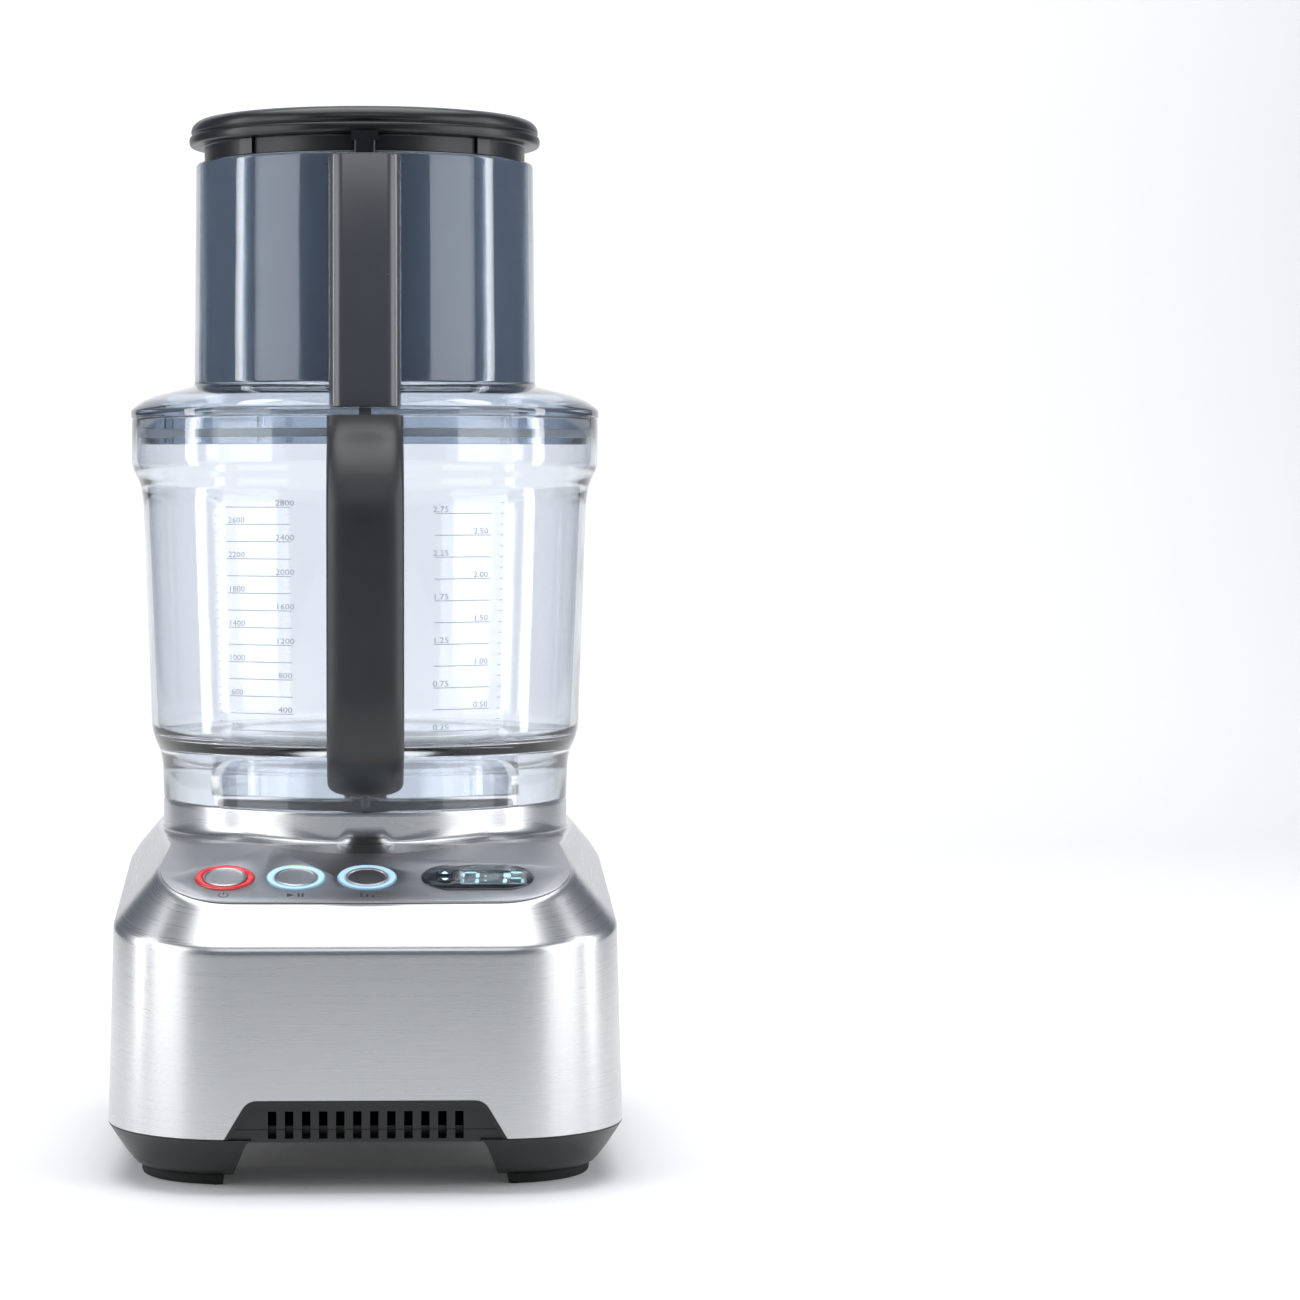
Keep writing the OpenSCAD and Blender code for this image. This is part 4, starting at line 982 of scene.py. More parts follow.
class BaseForm:
    """The surface of the base, worked out from its sizes."""

    def __init__(self):
        self.size = bpy.context.scene.processor_base
        self.panel = bpy.context.scene.processor_panel
        size = self.size
        self.front = -size.depth / 2
        self.skirt = HOUSING[0].z
        self.shoulder_rise = math.tan(size.shoulder_slope)
        self.panel_rise = math.tan(self.panel.tilt)
        self.panel_y = self.front + size.draft + size.shoulder
        self.panel_z = size.crease + self.shoulder_rise * size.shoulder
        self.kink_y = self.panel_y + (size.shelf - self.panel_z) / self.panel_rise
        self.middle = 0.5 * (AXIS_Y - size.neck - size.fillet - self.panel_y) / math.cos(self.panel.tilt)
        self.columns = rounded_plan(size.width, size.depth, size.corner)

    def top(self, y):
        """Height of the panel, or of the shelf behind it."""
        return min(self.panel_z + self.panel_rise * (y - self.panel_y), self.size.shelf)

    def crease(self, column):
        point = column[0] - self.size.draft * column[1]
        rise = math.tan(self.size.crease_tilt)
        return self.size.crease + rise * (min(point.y, AXIS_Y) - self.front - self.size.draft)

    def edge_inset(self, column):
        """How far inside the outline the shoulder meets the panel or the shelf."""
        size, crease = self.size, self.crease(column)
        sloped = self.panel_z + self.panel_rise * (column[0].y - self.panel_y) - crease
        sloped = (sloped + self.shoulder_rise * size.draft) / (
            self.shoulder_rise + self.panel_rise * column[1].y
        )
        return min(sloped, size.draft + (size.shelf - crease) / self.shoulder_rise)

    def profile(self, column, hole):
        """The closed section of the steel housing along one column of the outline."""
        size = self.size

        def at(inset, z):
            point = column[0] - inset * column[1]
            return Vector((point.x, point.y, z))

        inset = self.edge_inset(column)
        flat = column[0] - inset * column[1]
        axis = Vector((0.0, AXIS_Y))
        ray = (flat - axis).normalized()
        root = axis + size.neck * ray
        way = root - flat
        part = (self.kink_y - flat.y) / (way.y + 1e-5)
        bend = flat + way * (part if 0.05 < part < 0.95 else 0.5)
        foot, crease = at(0.0, self.skirt), at(size.draft, self.crease(column))
        edge = at(inset, self.top(flat.y))
        kink = Vector((bend.x, bend.y, self.top(bend.y)))
        heel = Vector((root.x, root.y, self.top(root.y)))
        rim = Vector((root.x, root.y, NECK_Z))
        lip = axis + (hole - 0.002) * ray
        lip = Vector((lip.x, lip.y, NECK_Z))
        reach = min(size.fillet, 0.92 * (heel - kink).length)
        inner = axis + (size.neck - size.wall) * ray
        down = Vector((0.0, 0.0, size.wall))
        outer = [at(0.0004, self.skirt), at(0.0, self.skirt + 0.0004)]
        outer += corner_curve(foot, crease, edge, 0.0022, 8)
        outer += corner_curve(crease, edge, kink, min(0.0025, 0.4 * (kink - edge).length), 6)
        outer.append(kink)
        outer += corner_curve(kink, heel, rim, min(reach, 0.0105), 14)
        outer += corner_curve(heel, rim, lip, 0.001, 3)
        inside = [
            lip - down, Vector((inner.x, inner.y, NECK_Z - size.wall)),
            Vector((inner.x, inner.y, self.top(inner.y) - 1.2 * size.wall)),
            at(inset + 0.8 * size.wall, self.top(flat.y) - 1.4 * size.wall),
            at(size.draft + size.wall, self.crease(column) - 0.5 * size.wall), at(size.wall, self.skirt)
        ]
        return supported(outer, 0.0012) + [lip] + inside

    def on_panel(self, x=0.0, y=0.0, z=0.0):
        """Places a shape on the panel: x across, y up the slope from the row of buttons, z outwards."""
        origin = Matrix.Translation((0.0, self.panel_y, self.panel_z + 0.00005))
        return origin @ Matrix.Rotation(self.panel.tilt, 4, "X") @ Matrix.Translation((x, self.middle + y, z))

    def notch(self, inset=0.0):
        """Outline of the front notch in (x, height), open towards the floor."""
        half, top = self.size.notch - inset, self.skirt + self.size.notch_height - inset
        low = self.skirt - 0.004
        outline = [
            (-half - 0.012 - inset * 0.3, low), (half + 0.012 + inset * 0.3, low), (half, top), (-half, top)
        ]
        return eased(outline, [0.0, 0.0, 0.004, 0.004], 6)


def supported(points, gap):
    """Adds points near the ends of long steps, so that smooth shading keeps flat faces flat."""
    done = [points[0]]
    for before, after in zip(points, points[1:]):
        step = after - before
        near = min(gap / max(step.length, 1e-9), 0.3)
        done += [before + step * near, after - step * near, after]
    return done


ALONG_X = Matrix(((0, 0, 1, 0), (1, 0, 0, 0), (0, 1, 0, 0), (0, 0, 0, 1)))
ALONG_Y = Matrix(((1, 0, 0, 0), (0, 0, -1, 0), (0, 1, 0, 0), (0, 0, 0, 1)))


def stadium(width, height, steps=18):
    """Outline with two half-round ends."""
    r = height / 2
    points = []
    for side, start in ((1, -90), (-1, 90)):
        for k in range(steps + 1):
            a = math.radians(start + 180 * k / steps)
            points.append((side * (width / 2 - r) + r * math.cos(a), r * math.sin(a)))
    return points


def ring_of(radius, count=48, centre=(0.0, 0.0)):
    """Points of a circle."""
    return [
        (
            centre[0] + radius * math.cos(math.tau * k / count),
            centre[1] + radius * math.sin(math.tau * k / count)
        )
        for k in range(count)
    ]


# ---------------------------------------------------------------- operators


class Making(bpy.types.Operator):
    """Shared settings of the operators that make pieces."""

    bl_options = {"REGISTER", "UNDO"}


class PROCESSOR_OT_finishes(Making):
    """Makes the materials and gives the carried-over pieces theirs"""

    bl_idname = "processor.finishes"
    bl_label = "Materials"

    def execute(self, context):
        colour = context.scene.processor_colours
        make_metals(colour)
        make_mouldings(colour)
        make_clears(colour)
        for node, finish in FINISHES.items():
            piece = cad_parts[node]
            for place in piece.material_slots:
                place.material = bpy.data.materials[finish]
        return {"FINISHED"}


class PROCESSOR_OT_housing(Making):
    """Makes the brushed steel housing with its notch and openings"""

    bl_idname = "processor.housing"
    bl_label = "Housing"

    def execute(self, context):
        form = BaseForm()
        hole = NECK_HOLE
        bm = bmesh.new()
        layer = bm.loops.layers.uv.new("Surface")
        shell_of_rings(bm, [form.profile(c, hole) for c in form.columns], layer)
        skin = finished(bm, "steel_housing")
        window = eased([(-0.077, -0.0145), (0.077, -0.0145), (0.077, 0.0145), (-0.077, 0.0145)], 0.011, 8)
        cutters = [
            prism("cut_window", window, -0.012, 0.008, form.on_panel()),
            prism("cut_notch", form.notch(), -0.04, 0.04, Matrix.Translation((0, form.front, 0)) @ ALONG_Y),
            spun(
                "cut_boss",
                [(0, NECK_Z - 0.005), (hole, NECK_Z - 0.005), (hole, NECK_Z + 0.005), (0, NECK_Z + 0.005)]
            ),
            prism("cut_pin", ring_of(0.0034, 30, (0, AXIS_Y - 0.078)), NECK_Z - 0.005, NECK_Z + 0.005),
            prism(
                "cut_gland", ring_of(0.0082, 48), -0.02, 0.02,
                Matrix.Translation((0, -form.front, 0.5 * (GLAND[0].z + GLAND[1].z))) @ ALONG_Y
            )
        ]
        carved(skin, cutters)
        placed(skin, "Brushed Stainless", "base", "brushed_housing", "housing")
        return {"FINISHED"}


class PROCESSOR_OT_undertray(Making):
    """Makes the black undertray with its pods, its vent and the trim round the notch"""

    bl_idname = "processor.undertray"
    bl_label = "Undertray"

    def execute(self, context):
        form = BaseForm()
        size = form.size
        low, rim = FEET[1].z, form.skirt
        floor = 0.024
        outer = form.columns
        inner = rounded_plan(
            size.width - 2 * size.pod_inset, size.depth - 2 * size.pod_front_inset, size.pod_corner
        )
        levels = [(0.0, 0.0014), (0.02, 0.0006), *((t, 0.0) for t in (0.06, 0.2, 0.4, 0.6, 0.8, 1.0))]
        rings = []
        for t, shy in levels:
            lean = t**0.82
            rings.append(
                [(*(a[0] - shy * a[1]).lerp(b[0], lean), low + (rim - low) * t) for a, b in zip(inner, outer)]
            )
        tray = stacked("undertray_shell", rings, 40.0)

        def plan(inset):
            return [c[0] - inset * c[1] for c in outer]

        wall = size.wall + 0.0003
        rim_plate = prism("rim_plate", plan(wall), rim - 0.001, floor + 0.0026)
        lean_in = wall + 0.0006
        apron = prism("apron", plan(lean_in), floor, floor + 0.0169)
        apron = carved(
            apron,
            cutters=[prism("apron_inside", plan(lean_in + 0.0026), floor - 0.01, floor + 0.03)],
            kept=[
                block(
                    "apron_front", (-size.notch - 0.008, form.front, 0),
                    (size.notch + 0.008, form.front + 0.012, 0.06)
                )
            ],
        )
        arches = []
        for name, half, run, turn in (
            ("arch_y", ARCHES[0], size.depth, 0), ("arch_x", ARCHES[1], size.width, 90)
        ):
            outline = [(-half - 0.01, -0.005), (half + 0.01, -0.005), (half, floor), (-half, floor)]
            outline = eased(outline, [0, 0, 0.006, 0.006], 5)
            place = Matrix.Rotation(math.radians(turn), 4, "Z") @ ALONG_Y
            arches.append(prism(name, outline, -run / 2 - 0.01, run / 2 + 0.01, place))
        slots = grown(
            "vent_slots", row_of_slots_tree(), Count=size.slots, Pitch=size.slot_pitch,
            Slot=(size.slot_width, 0.024, 0.0109),
            Start=(-(size.slots - 1) / 2 * size.slot_pitch, form.front, floor + 0.0045),
            Material=bpy.data.materials["Satin Black ABS"]
        )
        wells = [
            prism(f"well_{x}_{y}", ring_of(0.0044, 32, (x * FOOT.x, y * FOOT.y)), -0.001, low + 0.005)
            for x in (-1, 1)
            for y in (-1, 1)
        ]
        bores = [
            prism(f"bore_{x}_{y}", ring_of(0.0022, 24, (x * FOOT.x, y * FOOT.y)), 0.0, 0.06) for x in (-1, 1)
            for y in (-1, 1)
        ]
        fan = [
            block(f"fan_slot_{k}", (0.022, -0.002, floor - 0.001), (0.04, 0.002, floor + 0.004),
                  Matrix.Translation((0, AXIS_Y, 0)) @ Matrix.Rotation(math.radians(30 * k), 4, "Z"))
            for k in range(12)
        ]
        carved(tray, cutters=arches, sharp=40.0)
        carved(tray, added=[rim_plate, apron], sharp=40.0)
        carved(tray, cutters=[slots, *wells, *bores, *fan], sharp=40.0)
        placed(tray, "Satin Black ABS", "base", "black_moulding", "undertray")

        around, within = (path[1:] + path[:1] for path in (form.notch(CLEARANCE), form.notch(0.0019)))
        trim = prism(
            "notch_trim", around + within[::-1], -(form.front + 0.0052), -(form.front + 0.0007), ALONG_Y
        )
        floor_cut = block(
            "trim_floor", (-0.1, form.front - 0.01, 0), (0.1, form.front + 0.02, form.skirt + 0.0002)
        )
        carved(trim, cutters=[floor_cut])
        placed(trim, "Satin Black ABS", "base", "black_moulding")
        return {"FINISHED"}


class PROCESSOR_OT_feet(Making):
    """Makes the rubber pads under the pods and the screws in them"""

    bl_idname = "processor.feet"
    bl_label = "Feet and screws"

    def execute(self, context):
        size = BaseForm().size
        high = FEET[1].z - 0.00005
        reach = Vector((size.width / 2 - size.pod_inset, size.depth / 2 - size.pod_front_inset)) - Vector(
            (size.pod_corner, size.pod_corner)
        )
        r = size.pod_corner - 0.0012
        start = Vector((ARCHES[0] + 0.011, ARCHES[1] + 0.011))
        corner = [
            (reach.x + r * math.cos(math.pi / 2 * k / 16), reach.y + r * math.sin(math.pi / 2 * k / 16))
            for k in range(17)
        ]
        outline = [(start.x, start.y), (reach.x + r, start.y), *corner, (start.x, reach.y + r)]
        bm = bmesh.new()
        levels = ((0.0012, 0.0), (0.0004, 0.0003), (0.0, 0.0012), (0.0, high))
        shell_of_rings(
            bm, [[(*p, z) for p in shrunk(outline, inset)] for inset, z in levels], closed=False, cap=True
        )
        hole = prism("pad_hole", ring_of(0.0046, 32, (FOOT.x, FOOT.y)), -0.001, high + 0.002)
        pads = [carved(finished(bm, "pad"), cutters=[hole])]
        for x, y in ((-1, 1), (-1, -1), (1, -1)):
            bm = bmesh.new()
            bm.from_mesh(pads[0].data)
            bm.transform(Matrix.Diagonal((x, y, 1, 1)))
            pads.append(finished(bm, "pad"))
        placed(joined("rubber_pads", pads), "Nitrile Rubber", "base", "rubber", "rubber_feet")

        points = bpy.data.meshes.new("screw_points")
        height = node_box("case_screws")[0].z
        points.from_pydata([(x * FOOT.x, y * FOOT.y, height) for x in (-1, 1) for y in (-1, 1)], [], [])
        screws = grown(
            "pan_screws", pan_screws_tree(), points, Head_radius=0.0038, Head_height=0.003, Shank_radius=0.002,
            Shank_length=node_box("case_screws")[1].z - height - 0.0031,
            Material=bpy.data.materials["Zinc Plated Steel"]
        )
        smooth_to(screws, 40.0)
        placed(screws, "Zinc Plated Steel", "base", "bright_steel", "case_screws")
        return {"FINISHED"}


class PROCESSOR_OT_gland(Making):
    """Makes the ribbed cord gland at the back"""

    bl_idname = "processor.gland"
    bl_label = "Cord gland"

    def execute(self, context):
        low, high = GLAND
        depth = high.y - low.y
        profile = [
            (0.0037, 0.0), (0.0096, 0.0), (0.0096, depth - 0.0031), (0.0081, depth - 0.003), (0.0081, depth),
            (0.0037, depth)
        ]
        profile = eased(profile, [0.0004, 0.0008, 0.0, 0.0, 0.0009, 0.0009], 3)
        place = Matrix.Translation((0, low.y, 0.5 * (low.z + high.z))) @ Matrix.Rotation(-math.pi / 2, 4, "X")
        gland = spun("gland", profile, 64, (0.0, 0.0), place)
        placed(gland, "Nitrile Rubber", "base", "rubber", "cord_gland")
        return {"FINISHED"}


class PROCESSOR_OT_panel(Making):
    """Makes the control panel plate and its printed symbols"""

    bl_idname = "processor.panel"
    bl_label = "Control panel"

    def execute(self, context):
        form = BaseForm()
        panel = form.panel
        plan = []
        for column in form.columns:
            inset = form.edge_inset(column)
            if (column[0] - inset * column[1]).y < AXIS_Y:
                point = column[0] - (inset + 0.0008) * column[1]
                plan.append((point.x, point.y))
        plate = prism("panel_plate", plan, 0.08, 0.2)
        size = form.size
        near, far = form.front, AXIS_Y + 0.005
        rise = form.panel_z + form.panel_rise * (near - form.panel_y)
        low = [(near, rise), *kink_points(form), (far, size.shelf)]
        slab = [(y, z + ON_STEEL) for y, z in low]
        slab += [(y, z + ON_STEEL + panel.thickness) for y, z in reversed(low)]
        wide = size.neck + size.fillet + 0.0004
        neck_hole = spun("neck_hole", [(0, 0.05), (wide, 0.05), (wide, 0.25), (0, 0.25)], 160)
        slab = prism("slab", slab, -0.2, 0.2, ALONG_X)
        holes = [
            prism(f"hole_{k}", ring_of(0.0123, 64), -0.005, 0.005, form.on_panel(x))
            for k, x in enumerate(button_places(panel))
        ]
        holes.append(
            prism(
                "hole_display", stadium(panel.display + 0.0002, panel.display_height + 0.0002), -0.005, 0.005,
                form.on_panel(panel.display_place)
            )
        )
        carved(plate, kept=[slab], cutters=[neck_hole, *holes], sharp=25.0)
        edged(plate, 0.00022, 2, 60.0, 25.0)
        placed(plate, "Satin Aluminium", "base", "satin_panel", "control_panel")

        top = panel.thickness * math.cos(panel.tilt)
        marks = []
        for k, (x, drawing) in enumerate(zip(button_places(panel), (power_mark, start_mark, pulse_mark))):
            for j, outline in enumerate(drawing()):
                marks.append(
                    prism(f"mark_{k}_{j}", outline, top - 0.00002, top + 0.00004, form.on_panel(x, SYMBOL_Y))
                )
        placed(joined("panel_marks", marks), "Panel Ink", "base", "satin_panel")
        return {"FINISHED"}


def kink_points(form):
    """The bend between the sloping panel and the flat shelf, softly rounded."""
    before = Vector((form.kink_y - 0.02, form.size.shelf - 0.02 * form.panel_rise))
    bend = Vector((form.kink_y, form.size.shelf))
    after = Vector((form.kink_y + 0.02, form.size.shelf))
    return [tuple(p) for p in corner_curve(before, bend, after, 0.0015, 4)]


def button_places(panel):
    """Places of the three round buttons, from left to right."""
    return [panel.first - 2 * panel.pitch, panel.first - panel.pitch, panel.first]


def arc_band(radius, width, start, end, steps=20):
    """A curved band as a closed outline."""
    angles = [math.radians(start + (end - start) * k / steps) for k in range(steps + 1)]
    outer = [((radius + width / 2) * math.cos(a), (radius + width / 2) * math.sin(a)) for a in angles]
    inner = [((radius - width / 2) * math.cos(a), (radius - width / 2) * math.sin(a)) for a in reversed(angles)]
    return outer + inner


def bar(x, y, width, height):
    """An upright bar as a closed outline."""
    left, right, low, high = x - width / 2, x + width / 2, y - height / 2, y + height / 2
    return [(left, low), (right, low), (right, high), (left, high)]


def power_mark():
    """A broken circle with a bar."""
    return [arc_band(0.0019, 0.0005, 125, 415), bar(0, 0.0017, 0.0005, 0.0022)]


def start_mark():
    """A triangle and two bars."""
    return [
        [(-0.0034, -0.0018), (-0.0004, 0.0), (-0.0034, 0.0018)], bar(0.0014, 0, 0.0008, 0.0036),
        bar(0.003, 0, 0.0008, 0.0036)
    ]


def pulse_mark():
    """Three bars that grow shorter."""
    return [
        bar(-0.0024, 0, 0.0008, 0.004), bar(0, -0.0006, 0.0008, 0.0028), bar(0.0024, -0.0012, 0.0008, 0.0016)
    ]


class PROCESSOR_OT_controls(Making):
    """Makes the light rings, the button discs, the display window and its digits"""

    bl_idname = "processor.controls"
    bl_label = "Buttons and display"

    def execute(self, context):
        form = BaseForm()
        panel = form.panel
        nodes = (
            ("power_ring", "power_button", "Red Light Guide", "red_light"),
            ("light_rings", "start_button", "Blue Light Guide", "blue_light"),
            ("light_rings", "pulse_button", "Blue Light Guide", "blue_light")
        )
        guides = {}
        for x, (ring, button, finish, slot) in zip(button_places(panel), nodes):
            outer, inner = panel.ring, panel.button + 0.0003
            profile = [
                (inner, -0.004), (outer + 0.001, -0.004), (outer + 0.001, -0.00005), (outer, -0.00005),
                (outer, 0.0011), (outer - 0.0011, 0.0013), (inner + 0.0009, 0.0013), (inner, 0.0009)
            ]
            profile = eased(profile, [0, 0, 0, 0, 0.0003, 0.0004, 0.0004, 0.0003], 3)
            guides.setdefault((ring, finish, slot), []).append(
                spun(f"guide_{button}", profile, 96, (0.0, 0.0), form.on_panel(x))
            )
            top, r = 0.0012, panel.button
            dish = [
                (r * 0.86 * (1 - k / 8), top - 0.0003 - 0.0005 * math.sin(math.pi / 2 * k / 8))
                for k in range(9)
            ]
            profile = [
                (0.0, -0.00347), (0.0025, -0.00347), (0.0025, -0.0015), (r, -0.0015), (r, top),
                (r - 0.0005, top + 0.0003), (r * 0.9, top + 0.00015), *dish
            ]
            disc = spun(f"disc_{button}", profile, 96, (0.0, 0.0), form.on_panel(x), 40.0)
            placed(disc, "Turned Steel", button, "button_steel", button)
        for (ring, finish, slot), pieces in guides.items():
            piece = joined(f"{ring}_lit", pieces)
            placed(piece, finish, "base", slot, ring)

        lens = padded_plate(
            "display_lens", stadium(panel.display, panel.display_height, 24), -0.001, 0.0011, 0.0005,
            form.on_panel(panel.display_place)
        )
        key_x = -0.29 * panel.display
        holes = [
            prism(
                f"key_hole_{s}", stadium(0.0066, 0.0048), -0.004, 0.008,
                form.on_panel(panel.display_place + key_x, s * KEY_Y)
            )
            for s in (-1, 1)
        ]
        carved(lens, cutters=holes, sharp=50.0)
        placed(lens, "Display Acrylic", "base", "display_lens", "display_window")

        for name, s in (("timer_up_key", 1), ("timer_down_key", -1)):
            points = [(-0.0014, -0.0009 * s), (0.0014, -0.0009 * s), (0.0, 0.0012 * s)]
            if s < 0:
                points.reverse()
            arrow = prism(
                f"arrow_{name}", points, 0.00138, 0.00146, form.on_panel(panel.display_place + key_x, s * KEY_Y)
            )
            placed(arrow, "Lit Segments", name, "key_moulding")

        digits = []
        middle = panel.display_place + LCD_PLACE
        for x, glyph in ((-0.0095, "abcdef"), (0.0018, "bc"), (0.0092, "acdfg")):
            digits += seven_segments(glyph, middle + x, panel.digit, form)
        for y in (-0.0022, 0.0022):
            digits.append(
                prism("colon", ring_of(0.0006, 16), -0.00104, -0.00101, form.on_panel(middle - 0.0032, y))
            )
        placed(joined("display_digits", digits), "Lit Segments", "base", "lcd_glass")
        return {"FINISHED"}


def seven_segments(glyph, x, height, form):
    """The lit segments of one digit, each a bar with pointed ends, on the display."""
    half_w, half_h, thick = height * 0.27, height / 2, height * 0.07
    places = {
        "a": (0, half_h, 0), "d": (0, -half_h, 0), "g": (0, 0, 0), "b": (half_w, half_h / 2, 1),
        "c": (half_w, -half_h / 2, 1), "f": (-half_w, half_h / 2, 1), "e": (-half_w, -half_h / 2, 1)
    }
    pieces = []
    for letter in glyph:
        cx, cy, upright = places[letter]
        reach = (half_h / 2 if upright else half_w) - thick * 0.5
        shape = [
            (-reach, 0), (-reach + thick, -thick), (reach - thick, -thick), (reach, 0), (reach - thick, thick),
            (-reach + thick, thick)
        ]
        if upright:
            shape = [(-y, p) for p, y in shape]
        shape = [(cx + p + (cy + y) * 0.08, cy + y) for p, y in shape]
        pieces.append(prism(f"segment_{letter}", shape, -0.00104, -0.00101, form.on_panel(x)))
    return pieces


class PROCESSOR_OT_drive(Making):
    """Makes the spindle, its boss and seal, and the ring that the bowl locks on"""

    bl_idname = "processor.drive"
    bl_label = "Spindle and locking ring"

    def execute(self, context):
        low, high = node_box("drive_spindle")
        r = high.x
        bore = 0.00605
        top = high.z - 0.012
        profile = [
            (bore, low.z), (r, low.z), (r, top), (r - 0.0014, top + 0.0008), (0, top + 0.0008),
            (0, low.z + 0.0252), (bore, low.z + 0.0252)
        ]
        spindle = spun("spindle", eased(profile, [0, 0.0006, 0.001, 0.0004, 0, 0, 0.0004], 3), 96)
        flutes = [
            prism(f"flute_{k}", ring_of(0.0013, 20, (r, 0.0)), low.z + 0.034, low.z + high.z - low.z - 0.016,
                  Matrix.Translation((0, AXIS_Y, 0)) @ Matrix.Rotation(math.radians(60 * k), 4, "Z"))
            for k in range(6)
        ]
        tongue_r = r - 0.0017
        tongue = spun(
            "tongue", eased([(0, top), (tongue_r, top), (tongue_r, high.z), (0, high.z)], [0, 0, 0.001, 0], 3),
            90
        )
        tongue = carved(
            tongue,
            kept=[block("flat", (-0.02, AXIS_Y - 0.0055, top - 0.001), (0.02, AXIS_Y + 0.0055, high.z + 0.01))]
        )
        carved(spindle, added=[tongue], cutters=flutes)
        placed(spindle, "Grey Acetal", "drive", "rod_moulding", "drive_spindle")

        hole, wall = NECK_HOLE, 0.002
        inner = 0.0082
        boss = [
            (inner, NECK_Z - wall - 0.003), (hole + 0.003, NECK_Z - wall - 0.003),
            (hole + 0.003, NECK_Z - wall - 0.00005),
            (hole - 0.00005, NECK_Z - wall - 0.00005), (hole - 0.00005, NECK_Z + 0.0012),
            (hole - 0.002, NECK_Z + 0.002),
            (0.018, NECK_Z + 0.004), (0.012, NECK_Z + 0.004), (0.012, NECK_Z + 0.001), (inner, NECK_Z + 0.001),
        ]
        placed(
            spun("boss", eased(boss, [0, 0.0005, 0, 0, 0.0004, 0.0008, 0.001, 0.0005, 0, 0], 3), 128),
            "Pale ABS", "base", "pale_moulding", "spindle_boss"
        )
        seal = [
            (0.0063, NECK_Z + 0.00105), (0.0119, NECK_Z + 0.00105), (0.0119, NECK_Z + 0.0026),
            (0.008, NECK_Z + 0.0026), (0.0063, NECK_Z + 0.0038)
        ]
        placed(
            spun("seal", eased(seal, [0, 0, 0.0003, 0.0003, 0.0002], 3), 64), "Nitrile Rubber", "base",
            "rubber", "spindle_seal"
        )
        low, high = node_box("lock_ring")
        outer = high.x
        inner = 0.04
        lock = [
            (inner, low.z), (outer, low.z), (outer, high.z - 0.001), (outer - 0.001, high.z),
            (inner + 0.001, high.z), (inner, high.z - 0.001)
        ]
        placed(
            spun("locking_ring", eased(lock, [0, 0.0003, 0.0005, 0.0005, 0.0005, 0.0005], 3), 128),
            "Grey Acetal", "base", "rod_moulding", "lock_ring"
        )
        return {"FINISHED"}


class VesselForm:
    """Heights and profiles of the bowl and the lid."""

    def __init__(self):
        size = bpy.context.scene.processor_vessel
        self.size = size
        self.floor = BOWL_Z + size.floor
        self.collar = BOWL_TOP - size.collar
        self.foot_r = size.bowl - 0.0035
        self.chute = LID_Z + size.dome
        self.chute_in = size.chute - size.chute_wall

    def bowl_outer(self):
        floor, collar, size = self.floor, self.collar, self.size
        return [
            (size.foot, BOWL_Z, 0.0006), (size.foot + 0.0004, floor - 0.012, 0.003),
            (size.foot + 0.0018, floor - 0.006, 0.003),
            (self.foot_r - 0.0016, floor - 0.0026, 0.003), (self.foot_r, floor + 0.0025, 0.003),
            (size.bowl, collar - 0.014, 0.004), (size.bowl + 0.0012, collar - 0.007, 0.003),
            (COLLAR_R - 0.0008, collar - 0.0014, 0.002),
            (COLLAR_R, collar + 0.002, 0.0015), (COLLAR_R, BOWL_TOP, 0.0006),
        ]

    def bowl_inner(self):
        floor, collar, size = self.floor, self.collar, self.size
        t = size.wall
        return [
            (COLLAR_R - t, BOWL_TOP, 0.0006), (COLLAR_R - t, collar + 0.0016, 0.0015),
            (COLLAR_R - t - 0.0014, collar - 0.0015, 0.0015),
            (size.bowl - t - 0.0001, collar - 0.008, 0.003), (size.bowl - t, collar - 0.014, 0.003),
            (self.foot_r - t, floor + 0.0034, 0.002),
            (self.foot_r - t - 0.0026, floor, 0.002), (0.013, floor, 0.0015), (0.0126, floor + 0.042, 0.0008),
            (0.0102, floor + 0.042, 0.0006), (0.0102, floor - t, 0.0), (0.0657, floor - t, 0.0),
            (0.0657, BOWL_Z + 0.0053, 0.0005),
            (0.0677, BOWL_Z + 0.0053, 0.0005), (0.0677, floor - t, 0.0),
            (size.foot - t, floor - t - 0.001, 0.0015),
            (size.foot - t, BOWL_Z, 0.0006),
        ]

    def lid_outer(self):
        size, chute, dome = self.size, self.chute, self.size.dome
        return [
            (RIM_R, LID_Z, 0.0004), (RIM_R, LID_Z + 0.0034, 0.0008), (RIM_R - 0.0008, LID_Z + 0.0044, 0.0005),
            (RIM_R - 0.0046, LID_Z + dome * 0.52, 0.002), (RIM_R - 0.0114, LID_Z + dome * 0.72, 0.003),
            (size.chute + 0.008, LID_Z + dome * 0.88, 0.003), (size.chute + 0.0024, chute - 0.0004, 0.0015),
            (size.chute + 0.0011, chute + 0.0006, 0.001)
        ]

    def envelope(self, name, outline, low, high, far=0.0):
        """A solid that fills everything inside an outline of the bowl or the lid."""
        points = [
            (0.0, low), (outline[0][0] + far, low), *[(p[0] + far, p[1]) for p in outline],
            (outline[-1][0] + far, high), (0.0, high)
        ]
        return spun(name, points, 160)


def with_ease(points, steps=4):
    """Rounds a closed profile whose points carry their own rounding."""
    return [tuple(p) for p in eased([(p[0], p[1]) for p in points], [p[2] for p in points], steps)]


